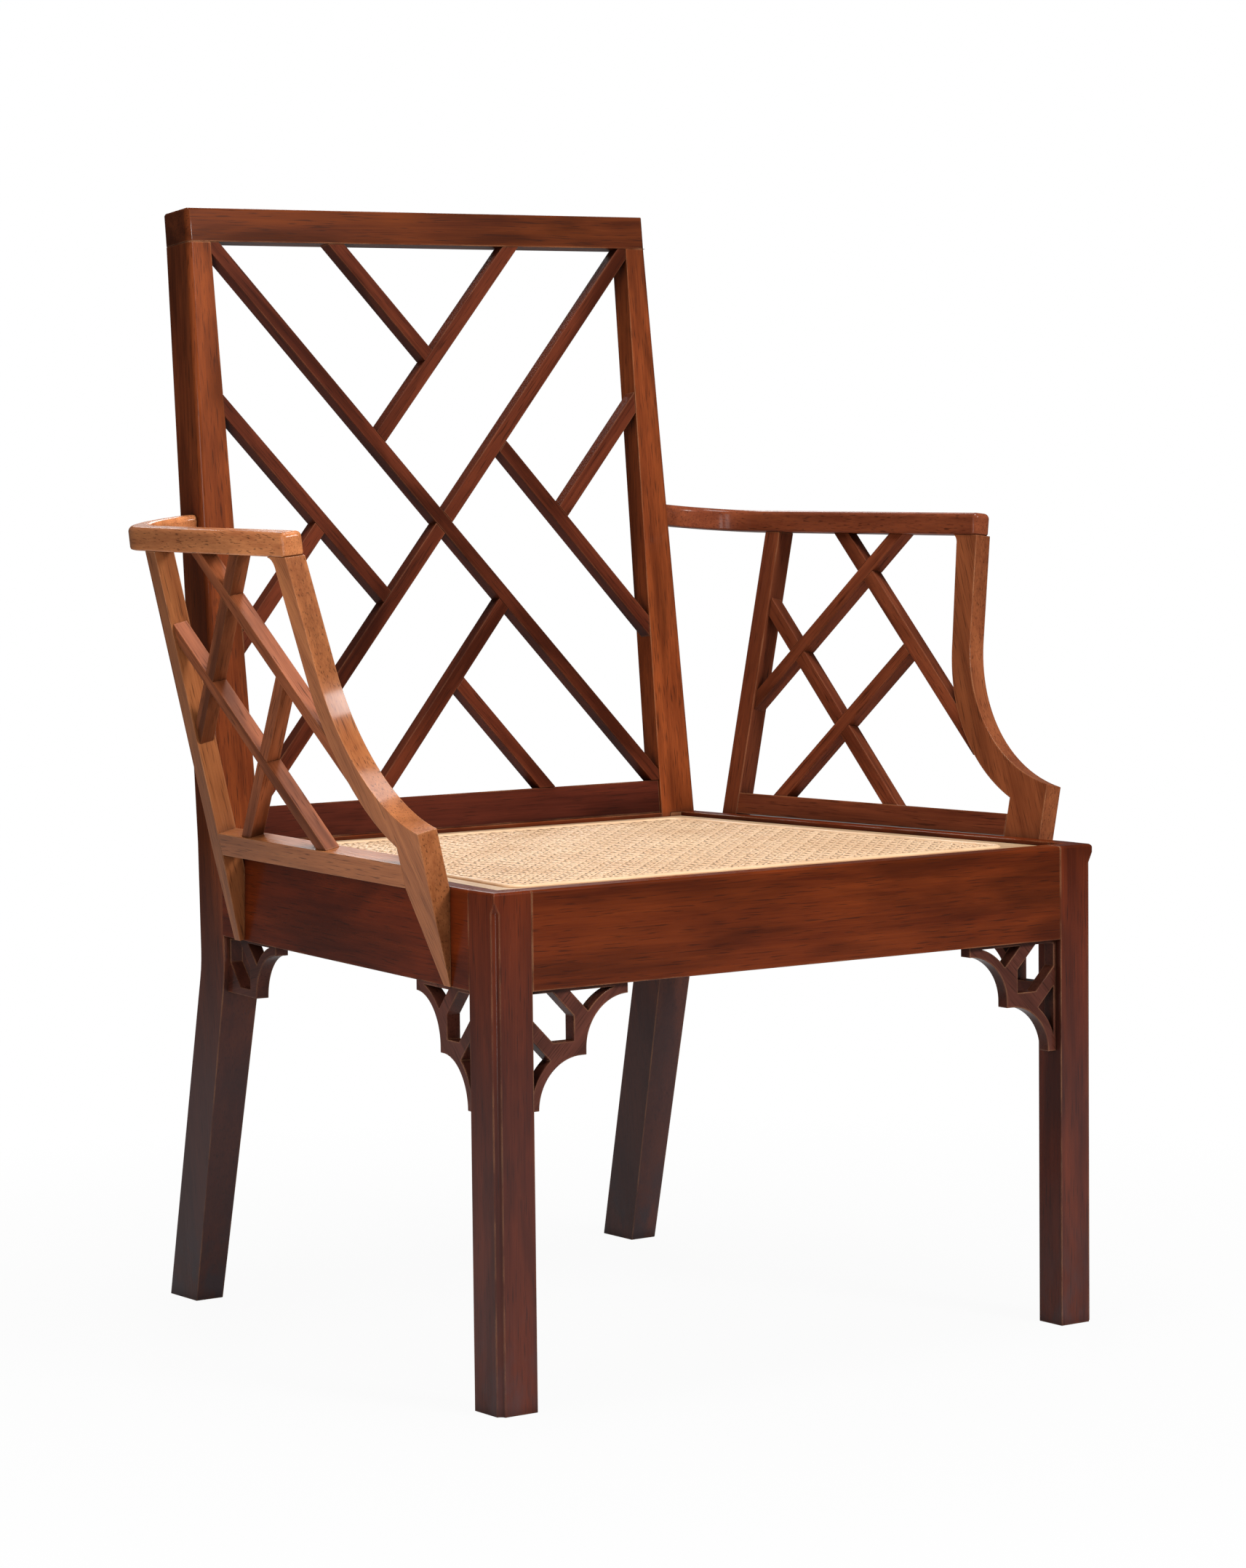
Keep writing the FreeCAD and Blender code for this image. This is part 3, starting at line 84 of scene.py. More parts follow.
# Easing of the members that differ from the rest, by the start of the name
EASING = (
    ("armrest", {"width": ARM_ROUND, "flat": 0.0, "corner": "MITER_ARC"}),
    ("rear_upright", {"flat": PLANK_ANGLE, "recut": True}),
    ("arm_bar", {"angle": BAR_ANGLE}),
    ("side_seat_rail", {"corner": "MITER_ARC", "steps": 1}),
)

# Cane: spacing, distance of a strand from the middle of its pair, size of a strand, height of the weave
CANE_PITCH = 0.013
CANE_PAIR = 0.0015
CANE_STRAND = 0.0027
CANE_THICK = 0.0006
CANE_WEAVE = 0.0004

# Points along a strand of each kind, diagonals laid out to each side, and where the strands start in UV
LENGTHWISE_STEPS = 30
CROSSWISE_STEPS = 84
DIAGONAL_STEPS = 70
DIAGONAL_REACH = 90
STRAND_UV_SPREAD = 7
STRAND_UV_START = 0.01

# Binding: radius of its corners, points round a corner and round the section, and where it starts in UV
BINDING_CORNER = 0.012
BINDING_STEPS = 9
BINDING_UV_START = 0.02

# Distance within which a vertex counts as part of an edge
EDGE_NEAR = 1e-4

# Rate of approach below which a line counts as parallel to a side
PARALLEL = 1e-9

# Noises: scale along each axis, detail and distortion; in wood the first axis runs along the grain
BANDS = {"scale": (2.2, 70, 70), "detail": 4, "distortion": 0.5}
RIBBON = {"scale": (9, 24, 24), "detail": 2, "distortion": 0.3}
FIBRE = {"scale": (12, 620, 620), "detail": 3}
PORES = {"scale": (38, 900, 900), "detail": 1}
CLOUDS = {"scale": (4.5, 26, 26), "detail": 3, "distortion": 0.5}
WEAR_AND_HIGHLIGHT_PATCHES = {"scale": (28, 28, 28), "detail": 4}
GRIME_AND_SHADE_PATCHES = {"scale": (40, 40, 40), "detail": 3}
FOOT_BLOTCHES = {"scale": (55, 55, 30), "detail": 4}
CANE_FIBRE = {"scale": (30, 900, 1), "detail": 3}
CANE_PATCHES = {"scale": (14, 14, 14), "detail": 3}
RUST_PATCHES = {"scale": (260, 260, 260), "detail": 4}
NOISE_ROUGHNESS = 0.55

# The whole range of a share
FULL = (0.0, 1.0)

# Wood figure: shares of the noises, the ranges of them that show, and what they do to the surface
BAND_SHARE = 0.45
RIBBON_SHARE = 0.25
FIBRE_SHARE = 0.30
FIGURE_RANGE = (0.36, 0.64)
PORE_RANGE = (0.60, 0.70)
PORE_SHARE = (0.0, 0.6)
FIGURE_ROUGHNESS = (0.34, 0.24)
PORE_ROUGHNESS = 0.16
FIBRE_HEIGHT = 0.3
WOOD_BUMP = {"Strength": 0.012, "Distance": 0.0003}
GRAIN_SHIFT = 3

# Arris abrasion with a painted highlight, corner dirt with painted shade, leg scuffs with a painted grey
# floor sheen, and clouds: ranges in which each one grows, and its shares
NEAR_SAMPLES = 6
WEAR_AND_HIGHLIGHT_TURN = (0.99, 0.86)
WEAR_AND_HIGHLIGHT_RANGE = (0.40, 0.62)
WEAR_AND_HIGHLIGHT_PATCH_SHARE = (0.15, 1.0)
# Corner darkening: partly dirt and old wax, partly painted shade where other surfaces are near
GRIME_AND_SHADE_REACH = 0.014
GRIME_AND_SHADE_NEAR = (0.85, 0.35)
GRIME_AND_SHADE_RANGE = (0.30, 0.70)
GRIME_AND_SHADE_PATCH_SHARE = (0.55, 1.0)
GRIME_AND_SHADE_SHARE = 0.7
GRIME_ROUGHNESS = 0.2
GRIME_AND_SHADE_TONE = (0.012, 0.004, 0.002)
# Legs: a dulled finish and a painted grey floor sheen grow down from the seat rails, and scuffs in the same
# grey thicken near the floor
DULL_AND_SHEEN_HEIGHT = (0.42, 0.20)
SCUFF_HEIGHT = (0.10, 0.0)
SCUFF_RANGE = (0.42, 0.62)
SCUFF_SHARE = (0.0, 0.35)
FOOT_SCUFF_AND_SHEEN_TONE = (0.080, 0.0530, 0.0560)
CLOUD_RANGE = (0.44, 0.62)
CLOUD_TONE = 0.3

# Finishes: the mahogany has a coat of polish, its lattice bars are without the coat, and the beech is bare
COAT_ROUGHNESS = 0.12
# The arris colour stands for abrasion of the wood and also for a painted highlight along the arrises
MAHOGANY = {"pore": (0.022, 0.0060, 0.0025), "worn_and_highlight": (0.60, 0.290, 0.140), "wear_and_highlight_reach": 0.0022}
POLISHED = {"wear_and_highlight_share": 0.6, "gloss": 0.07, "coat": 0.22}
LATTICE = {"wear_and_highlight_share": 0.2, "gloss": 0.04, "cloud_share": 0.7}
BEECH = {"dark": (0.52, 0.33, 0.18), "light": (0.74, 0.52, 0.32), "pore": (0.42, 0.25, 0.13),
         "worn_and_highlight": (0.80, 0.62, 0.42), "wear_and_highlight_reach": 0.002, "wear_and_highlight_share": 0.6, "gloss": 0.25}
ARM_CLOUDS = 0.3
FRAME_CLOUDS = 0.6
# Shares of the dulled finish and painted grey floor sheen on the legs
DULL_AND_SHEEN_SHARES = {"front_leg": 0.3, "rear_upright": 0.75}
BOARD_LIGHTER = (0.9, 1.1)

# Split cane and the screws' iron
STRAND_TONES = ((0.78, 0.49, 0.28), (0.96, 0.67, 0.42))
BINDING_TONES = ((0.74, 0.46, 0.26), (0.92, 0.64, 0.40))
CANE_FIBRE_SHARE = 0.45
CANE_PATCH_SHARE = 0.55
CANE_GLOSS_RANGE = (0.3, 0.7)
CANE_ROUGHNESS = (0.5, 0.36)
CANE_BUMP = {"Strength": 0.2, "Distance": 0.0002}
IRON_TONE = (0.09, 0.085, 0.08)
RUST_TONE = (0.11, 0.035, 0.015)
RUST_RANGE = (0.48, 0.62)
RUST_ROUGHNESS = (0.38, 0.8)
RUST_METAL = (1.0, 0.15)

# Dark and light tones of the mahogany; the near arm's members, on the sitter's right, have lighter tones
# than the far arm's: partly paler wood, partly painted light from the −X side
TONES = {
    "front_rail": ((0.125, 0.0180, 0.0035), (0.245, 0.0430, 0.0080)),
    "side_rail": ((0.090, 0.0110, 0.0020), (0.185, 0.0270, 0.0050)),
    "lower_rail": ((0.055, 0.0110, 0.0060), (0.120, 0.0250, 0.0130)),
    "bracket": ((0.080, 0.0230, 0.0150), (0.160, 0.0460, 0.0290)),
    "leg": ((0.105, 0.0160, 0.0045), (0.215, 0.0370, 0.0100)),
    "upright": ((0.150, 0.0290, 0.0080), (0.330, 0.0770, 0.0210)),
    "crest": ((0.075, 0.0150, 0.0045), (0.170, 0.0390, 0.0110)),
    "lattice": ((0.075, 0.0155, 0.0075), (0.175, 0.0400, 0.0175)),
    "left_arm": ((0.150, 0.0330, 0.0150), (0.310, 0.0820, 0.0330)),
    "left_post": ((0.195, 0.0480, 0.0180), (0.410, 0.1250, 0.0460)),
    # Near arm: lighter tones, partly paler wood and partly painted light from the −X side
    "right_armrest_paler_and_lit": ((0.430, 0.1350, 0.0470), (0.750, 0.2850, 0.1060)),
    "right_arm_paler_and_lit": ((0.260, 0.0760, 0.0240), (0.510, 0.1800, 0.0630)),
    "right_bar_paler_and_lit": ((0.200, 0.0520, 0.0190), (0.400, 0.1200, 0.0460)),
}

# Tone of a member by the start and the end of its name; the first row that fits holds
MEMBERS = (
    ("front_leg", "", "leg"),
    ("rear_upright", "", "upright"),
    ("side_seat_rail", "", "side_rail"),
    ("bracket", "", "bracket"),
    ("crest", "", "crest"),
    ("back", "", "lattice"),
    ("lower_back", "", "lower_rail"),
    # Members of the near arm take its lighter tones, which are partly painted light
    ("armrest", "right", "right_armrest_paler_and_lit"),
    ("arm_front_post", "left", "left_post"),
    ("arm_bar", "right", "right_bar_paler_and_lit"),
    ("arm", "right", "right_arm_paler_and_lit"),
    ("arm", "", "left_arm"),
    ("", "", "front_rail"),
)

# Places of the colour sockets in a Mix node, where one name stands for several of them
MIX_SHARE = 0
MIX_FIRST = 6
MIX_SECOND = 7
MIX_COLOUR = 2

SEED = 18
DRAWS = np.random.default_rng(SEED)


# Camera and lights

def photo_camera():
    """Camera fitted to the photograph: turned by yaw, pitched down, then rolled about its sight line."""
    sight = Vector((math.sin(CAMERA_YAW) * math.cos(CAMERA_PITCH),
                    math.cos(CAMERA_YAW) * math.cos(CAMERA_PITCH), -math.sin(CAMERA_PITCH)))
    level = Vector((math.cos(CAMERA_YAW), -math.sin(CAMERA_YAW), 0))
    upright = level.cross(sight)
    right = math.cos(CAMERA_ROLL) * level + math.sin(CAMERA_ROLL) * upright
    up = math.cos(CAMERA_ROLL) * upright - math.sin(CAMERA_ROLL) * level
    data = bpy.data.cameras.new("photo_camera")
    data.sensor_width = SENSOR_SIZE
    data.lens = FOCAL_PIXELS / PHOTO_TALL * SENSOR_SIZE
    data.clip_end = SIGHT_END
    camera = bpy.data.objects.new("photo_camera", data)
    scene.collection.objects.link(camera)
    turned = Matrix((right, up, -sight)).transposed().to_4x4()
    camera.matrix_world = Matrix.Translation(CAMERA_PLACE) @ turned
    scene.camera = camera


def softbox(name, place, target, wide, tall, watts):
    """Rectangular lamp at a place, facing a target."""
    data = bpy.data.lights.new(name, "AREA")
    data.shape = "RECTANGLE"
    data.size = wide
    data.size_y = tall
    data.energy = watts
    lamp = bpy.data.objects.new(name, data)
    scene.collection.objects.link(lamp)
    lamp.location = place
    lamp.rotation_euler = (Vector(target) - Vector(place)).to_track_quat("-Z", "Y").to_euler()


# Shader helpers

def shader_node(tree, kind, inputs=None, **settings):
    """Shader node with its settings; an input given as a socket is linked, any other is set."""
    made = tree.nodes.new(kind)
    for name, value in settings.items():
        setattr(made, name, value)
    for name, value in (inputs or {}).items():
        if isinstance(value, bpy.types.NodeSocket):
            tree.links.new(value, made.inputs[name])
        else:
            made.inputs[name].default_value = value
    return made


def blended(tree, share, first, second):
    """Colour between two colours by a share from 0 to 1."""
    inputs = {MIX_SHARE: share, MIX_FIRST: first, MIX_SECOND: second}
    return shader_node(tree, "ShaderNodeMix", inputs, data_type="RGBA").outputs[MIX_COLOUR]


def worked(tree, operation, first, second):
    """Sum, product or other arithmetic of two values."""
    return shader_node(tree, "ShaderNodeMath", {0: first, 1: second}, operation=operation).outputs[0]


def weighted(tree, first, *others):
    """Sum of values, each given with its share and multiplied by it."""
    total = worked(tree, "MULTIPLY", *first)
    for part in others:
        total = worked(tree, "ADD", total, worked(tree, "MULTIPLY", *part))
    return total


def ranged(tree, value, span, onto=FULL):
    """Value carried from one range to another and held inside it."""
    inputs = {"Value": value, "From Min": span[0], "From Max": span[1],
              "To Min": onto[0], "To Max": onto[1]}
    return shader_node(tree, "ShaderNodeMapRange", inputs).outputs[0]


def streaks(tree, vector, scale, detail, distortion=0.0):
    """Noise drawn out by a different scale along each axis."""
    drawn = shader_node(tree, "ShaderNodeMapping", {"Vector": vector, "Scale": scale}).outputs[0]
    inputs = {"Vector": drawn, "Scale": 1.0, "Detail": detail, "Roughness": NOISE_ROUGHNESS,
              "Distortion": distortion}
    return shader_node(tree, "ShaderNodeTexNoise", inputs).outputs[0]


def object_place(tree):
    """Place on the object, in its own coordinates."""
    return tree.nodes.new("ShaderNodeTexCoord").outputs["Object"]


def solid(tone):
    """Opaque colour of a tone."""
    return (*tone, 1)


def new_group(name, inputs, outputs):
    """Node group with named sockets, and its input and output nodes."""
    tree = bpy.data.node_groups.new(name, "ShaderNodeTree")
    for label, kind in inputs:
        tree.interface.new_socket(label, in_out="INPUT", socket_type=kind)
    for label, kind in outputs:
        tree.interface.new_socket(label, in_out="OUTPUT", socket_type=kind)
    return tree, tree.nodes.new("NodeGroupInput").outputs, tree.nodes.new("NodeGroupOutput").inputs


def mask_group(name, setting):
    """Node group that makes a mask from a place and one setting."""
    inputs = [("Vector", "NodeSocketVector"), (setting, "NodeSocketFloat")]
    return new_group(name, inputs, [("Mask", "NodeSocketFloat")])


def new_material(name):
    """Empty node material with its output node."""
    material = bpy.data.materials.new(name)
    material.use_nodes = True
    material.node_tree.nodes.clear()
    return material, material.node_tree, material.node_tree.nodes.new("ShaderNodeOutputMaterial")


def placed(tree, group, **inputs):
    """One use of a node group, with its own values."""
    return shader_node(tree, "ShaderNodeGroup", inputs, node_tree=group).outputs


def skin(tree, out, inputs):
    """Principled surface of a material."""
    surface = shader_node(tree, "ShaderNodeBsdfPrincipled", inputs)
    tree.links.new(surface.outputs[0], out.inputs["Surface"])


# Effects that several finishes share

def wood_figure_group():
    """Growth bands, ribbon figure and open pores drawn out along X: bands, ribbon and fibre noises are
    summed to a tone between the dark and the light colour, and thin dark dashes are laid over it as
    pores."""
    tree, given, out = new_group(
        "wood_figure",
        [("Vector", "NodeSocketVector"), ("Dark", "NodeSocketColor"), ("Light", "NodeSocketColor"),
         ("Pore", "NodeSocketColor")],
        [("Color", "NodeSocketColor"), ("Roughness", "NodeSocketFloat"), ("Height", "NodeSocketFloat")])
    bands = streaks(tree, given["Vector"], **BANDS)
    ribbon = streaks(tree, given["Vector"], **RIBBON)
    fibre = streaks(tree, given["Vector"], **FIBRE)
    pores = streaks(tree, given["Vector"], **PORES)
    mixed = weighted(tree, (bands, BAND_SHARE), (ribbon, RIBBON_SHARE), (fibre, FIBRE_SHARE))
    tone = ranged(tree, mixed, FIGURE_RANGE)
    pore = ranged(tree, pores, PORE_RANGE, PORE_SHARE)
    colour = blended(tree, tone, given["Dark"], given["Light"])
    tree.links.new(blended(tree, pore, colour, given["Pore"]), out["Color"])
    rough = ranged(tree, tone, FULL, FIGURE_ROUGHNESS)
    rough = worked(tree, "ADD", rough, worked(tree, "MULTIPLY", pore, PORE_ROUGHNESS))
    tree.links.new(rough, out["Roughness"])
    raised = worked(tree, "MULTIPLY", fibre, FIBRE_HEIGHT)
    tree.links.new(worked(tree, "SUBTRACT", raised, pore), out["Height"])
    return tree


def old_polish_group():
    """Mask of old darkened polish: broad soft clouds of noise drawn out along X, held to a share."""
    tree, given, out = mask_group("old_polish", "Share")
    clouds = ranged(tree, streaks(tree, given["Vector"], **CLOUDS), CLOUD_RANGE)
    tree.links.new(worked(tree, "MULTIPLY", clouds, given["Share"]), out["Mask"])
    return tree


def edge_wear_and_highlight_group():
    """Mask of arrises lightened by abrasion and by a painted highlight: how far the surface normal turns
    within the reach of a rounded edge, broken by noise."""
    tree, given, out = mask_group("edge_wear_and_highlight", "Reach")
    surface = tree.nodes.new("ShaderNodeNewGeometry").outputs["Normal"]
    rounded = shader_node(tree, "ShaderNodeBevel", {"Radius": given["Reach"]}, samples=NEAR_SAMPLES)
    facing = shader_node(tree, "ShaderNodeVectorMath", {0: surface, 1: rounded.outputs[0]},
                         operation="DOT_PRODUCT")
    turn = ranged(tree, facing.outputs["Value"], WEAR_AND_HIGHLIGHT_TURN)
    patchy = ranged(tree, streaks(tree, given["Vector"], **WEAR_AND_HIGHLIGHT_PATCHES), WEAR_AND_HIGHLIGHT_RANGE, WEAR_AND_HIGHLIGHT_PATCH_SHARE)
    tree.links.new(worked(tree, "MULTIPLY", turn, patchy), out["Mask"])
    return tree


def corner_grime_and_shade_group():
    """Mask of dirt and old wax in the corners, together with painted shade there: nearness of other surfaces
    from ambient occlusion, broken by soft noise.
    """
    tree, given, out = mask_group("corner_grime_and_shade", "Reach")
    open_sky = shader_node(tree, "ShaderNodeAmbientOcclusion", {"Distance": given["Reach"]},
                           samples=NEAR_SAMPLES)
    near = ranged(tree, open_sky.outputs["AO"], GRIME_AND_SHADE_NEAR)
    patchy = ranged(tree, streaks(tree, given["Vector"], **GRIME_AND_SHADE_PATCHES), GRIME_AND_SHADE_RANGE, GRIME_AND_SHADE_PATCH_SHARE)
    tree.links.new(worked(tree, "MULTIPLY", near, patchy), out["Mask"])
    return tree


def foot_scuff_and_sheen_group():
    """Mask of dulled, scuffed legs with a painted grey floor sheen: it grows by height from the seat rails
    down to the middle of the leg, and blotches of noise, the scuffs, thicken it close to the floor."""
    tree, given, out = mask_group("foot_scuff_and_sheen", "Share")
    height = shader_node(tree, "ShaderNodeSeparateXYZ", {0: given["Vector"]}).outputs["Z"]
    dull_and_sheen = worked(tree, "MULTIPLY", ranged(tree, height, DULL_AND_SHEEN_HEIGHT), given["Share"])
    blotch = ranged(tree, streaks(tree, given["Vector"], **FOOT_BLOTCHES), SCUFF_RANGE, SCUFF_SHARE)
    low = worked(tree, "MULTIPLY", ranged(tree, height, SCUFF_HEIGHT), blotch)
    tree.links.new(worked(tree, "ADD", dull_and_sheen, low), out["Mask"])
    return tree


wood_figure = wood_figure_group()
old_polish = old_polish_group()
edge_wear_and_highlight = edge_wear_and_highlight_group()
corner_grime_and_shade = corner_grime_and_shade_group()
foot_scuff_and_sheen = foot_scuff_and_sheen_group()


# Finishes

def vertex_places(obj):
    """Places of an object's vertices, one row each."""
    spots = np.empty(len(obj.data.vertices) * 3)
    obj.data.vertices.foreach_get("co", spots)
    return spots.reshape(-1, 3)


def grain_turn(obj):
    """Rotation that brings a member's long axis, the main axis of its vertices, onto X."""
    spots = vertex_places(obj)
    rows = np.linalg.svd(spots - spots.mean(axis=0), full_matrices=False)[2]
    rows[2] = np.cross(rows[0], rows[1])
    return Matrix(rows.tolist()).to_euler()


def wood_finish(name, obj, dark, light, pore, worn_and_highlight, wear_and_highlight_reach, wear_and_highlight_share, gloss,
                coat=0.0, cloud_share=0.0, dull_and_sheen_share=0.0):
    """Wood with its grain along one member, arrises lightened by abrasion and by a painted highlight, dirt
    and painted shade in the corners and, where asked for, a thin coat of polish, clouds of old polish, and
    on a leg a dulled, scuffed finish with a painted grey floor sheen."""
    material, tree, out = new_material(name)
    spot = object_place(tree)
    shift = DRAWS.uniform(-GRAIN_SHIFT, GRAIN_SHIFT, 3)
    turned = {"Vector": spot, "Rotation": grain_turn(obj), "Location": shift.tolist()}
    grain = shader_node(tree, "ShaderNodeMapping", turned).outputs[0]
    figure = placed(tree, wood_figure, Vector=grain, Dark=solid(dark), Light=solid(light), Pore=solid(pore))
    colour = figure["Color"]
    if cloud_share:
        clouds = placed(tree, old_polish, Vector=grain, Share=cloud_share)["Mask"]
        colour = blended(tree, clouds, colour, solid([value * CLOUD_TONE for value in dark]))
    # Dulled, scuffed legs with a painted grey floor sheen
    if dull_and_sheen_share:
        scuff_and_sheen = placed(tree, foot_scuff_and_sheen, Vector=spot, Share=dull_and_sheen_share)["Mask"]
        colour = blended(tree, scuff_and_sheen, colour, solid(FOOT_SCUFF_AND_SHEEN_TONE))
    # Arrises lightened by abrasion and by a painted highlight
    wear_and_highlight = placed(tree, edge_wear_and_highlight, Vector=spot, Reach=wear_and_highlight_reach)["Mask"]
    # Darkening where other surfaces are near: dirt and old wax, and painted shade
    grime_and_shade = placed(tree, corner_grime_and_shade, Vector=spot, Reach=GRIME_AND_SHADE_REACH)["Mask"]
    rubbed_and_highlit = blended(tree, worked(tree, "MULTIPLY", wear_and_highlight, wear_and_highlight_share), colour, solid(worn_and_highlight))
    soiled_and_shaded = blended(tree, worked(tree, "MULTIPLY", grime_and_shade, GRIME_AND_SHADE_SHARE), rubbed_and_highlit, solid(GRIME_AND_SHADE_TONE))
    rough = worked(tree, "ADD", figure["Roughness"], worked(tree, "MULTIPLY", grime_and_shade, GRIME_ROUGHNESS))
    bump = shader_node(tree, "ShaderNodeBump", {"Height": figure["Height"], **WOOD_BUMP}).outputs[0]
    skin(tree, out, {"Base Color": soiled_and_shaded, "Roughness": rough, "Normal": bump, "Specular IOR Level": gloss,
                     "Coat Weight": coat, "Coat Roughness": COAT_ROUGHNESS})
    return material


def cane_finish(name, dark, light):
    """Split cane: fibres along each strand from its UV map, darker patches here and there, and a hard satin
    skin."""
    material, tree, out = new_material(name)
    along = shader_node(tree, "ShaderNodeUVMap", uv_map="strand").outputs[0]
    fibre = streaks(tree, along, **CANE_FIBRE)
    patch = streaks(tree, object_place(tree), **CANE_PATCHES)
    tone = weighted(tree, (fibre, CANE_FIBRE_SHARE), (patch, CANE_PATCH_SHARE))
    colour = blended(tree, ranged(tree, tone, FIGURE_RANGE), solid(dark), solid(light))
    rough = ranged(tree, tone, CANE_GLOSS_RANGE, CANE_ROUGHNESS)
    bump = shader_node(tree, "ShaderNodeBump", {"Height": fibre, **CANE_BUMP}).outputs[0]
    skin(tree, out, {"Base Color": colour, "Roughness": rough, "Normal": bump})
    return material


def iron_finish(name):
    """Old screw iron: dark grey metal with rust in patches."""
    material, tree, out = new_material(name)
    rust = ranged(tree, streaks(tree, object_place(tree), **RUST_PATCHES), RUST_RANGE)
    colour = blended(tree, rust, solid(IRON_TONE), solid(RUST_TONE))
    skin(tree, out, {"Base Color": colour, "Roughness": ranged(tree, rust, FULL, RUST_ROUGHNESS),
                     "Metallic": ranged(tree, rust, FULL, RUST_METAL)})
    return material


def floor_finish(name):
    """White floor: plain white to the camera, dimmer in reflections and dark in them away from the chair,
    with a share of the lit surface round the chair for the shadow, which fades out with the distance."""
    material, tree, out = new_material(name)
    path = tree.nodes.new("ShaderNodeLightPath").outputs
    length = shader_node(tree, "ShaderNodeVectorMath", {0: object_place(tree)}, operation="LENGTH")
    away = length.outputs["Value"]
    dimmed = ranged(tree, away, REFLECTED_DISTANCE, REFLECTED_WHITE)
    reflected = worked(tree, "MULTIPLY", path["Is Glossy Ray"], dimmed)
    seen = worked(tree, "MAXIMUM", path["Is Camera Ray"], reflected)
    share = worked(tree, "MULTIPLY", seen, ranged(tree, away, SHADOW_DISTANCE, SHADOW_WHITE))
    lit = shader_node(tree, "ShaderNodeBsdfDiffuse", {"Color": FLOOR_GREY}).outputs[0]
    white = shader_node(tree, "ShaderNodeEmission", {"Color": WHITE, "Strength": 1.0}).outputs[0]
    mixed = shader_node(tree, "ShaderNodeMixShader", {0: share, 1: lit, 2: white})
    tree.links.new(mixed.outputs[0], out.inputs["Surface"])
    return material


def studio_world():
    """White to the camera and a plain dim sky for the rest, so that polished faces reflect a dark room."""
    world = bpy.data.worlds.new("studio")
    world.use_nodes = True
    tree = world.node_tree
    tree.nodes.clear()
    path = tree.nodes.new("ShaderNodeLightPath").outputs
    sky = shader_node(tree, "ShaderNodeBackground", {"Color": WHITE, "Strength": SKY_STRENGTH}).outputs[0]
    white = shader_node(tree, "ShaderNodeBackground", {"Color": WHITE, "Strength": 1.0}).outputs[0]
    mixed = shader_node(tree, "ShaderNodeMixShader", {0: path["Is Camera Ray"], 1: sky, 2: white})
    out = tree.nodes.new("ShaderNodeOutputWorld")
    tree.links.new(mixed.outputs[0], out.inputs["Surface"])
    scene.world = world


# Mesh helpers

def mesh_piece(name, spots, faces, material, uv=None):
    """Mesh object at the origin from whole arrays of points and four-cornered faces."""
    mesh = bpy.data.meshes.new(name)
    mesh.vertices.add(len(spots))
    mesh.vertices.foreach_set("co", spots.astype(np.float32).ravel())
    mesh.loops.add(faces.size)
    mesh.loops.foreach_set("vertex_index", faces.astype(np.int32).ravel())
    mesh.polygons.add(len(faces))
    mesh.polygons.foreach_set("loop_start", np.arange(0, faces.size, 4, dtype=np.int32))
    mesh.polygons.foreach_set("use_smooth", np.ones(len(faces), bool))
    if uv is not None:
        layer = mesh.uv_layers.new(name="strand")
        layer.uv.foreach_set("vector", uv[faces.ravel()].astype(np.float32).ravel())
    mesh.update(calc_edges=True)
    mesh.validate()
    mesh.materials.append(material)
    piece = bpy.data.objects.new(name, mesh)
    scene.collection.objects.link(piece)
    return piece


def plate(name, half, material):
    """Flat square at floor level: corners at plus and minus its half size."""
    corners = np.array([[-half, -half, 0], [half, -half, 0], [half, half, 0], [-half, half, 0]])
    return mesh_piece(name, corners, np.array([[0, 1, 2, 3]]), material)


# Caned seat

def cane_corners(node):
    """The four corners of a tapered panel in plan, front right, front left, back left and back right, and
    its lowest and highest level."""
    spots = vertex_places(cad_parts[node])
    front = spots[spots[:, 1] < spots[:, 1].min() + EDGE_NEAR]
    back = spots[spots[:, 1] > spots[:, 1].max() - EDGE_NEAR]
    corners = np.array([[front[:, 0].min(), front[0, 1]], [front[:, 0].max(), front[0, 1]],
                        [back[:, 0].max(), back[0, 1]], [back[:, 0].min(), back[0, 1]]])
    return corners, spots[:, 2].min(), spots[:, 2].max()


def clipped(points, direction, corners):
    """Where straight lines enter and leave a convex outline, by the largest entry and the smallest exit over
    its sides, and which lines lie inside the sides parallel to them."""
    side = np.roll(corners, -1, axis=0) - corners
    inward = np.stack([-side[:, 1], side[:, 0]], axis=1)
    depth = np.einsum("lsk,sk->ls", points[:, None, :] - corners[None], inward)
    rate = inward @ direction
    with np.errstate(divide="ignore", invalid="ignore"):
        reach = -depth / rate
    enter = np.where(rate > PARALLEL, reach, -np.inf).max(axis=1)
    leave = np.where(rate < -PARALLEL, reach, np.inf).min(axis=1)
    inside = np.where(np.abs(rate) <= PARALLEL, depth > 0, True).all(axis=1)
    return enter, leave, inside


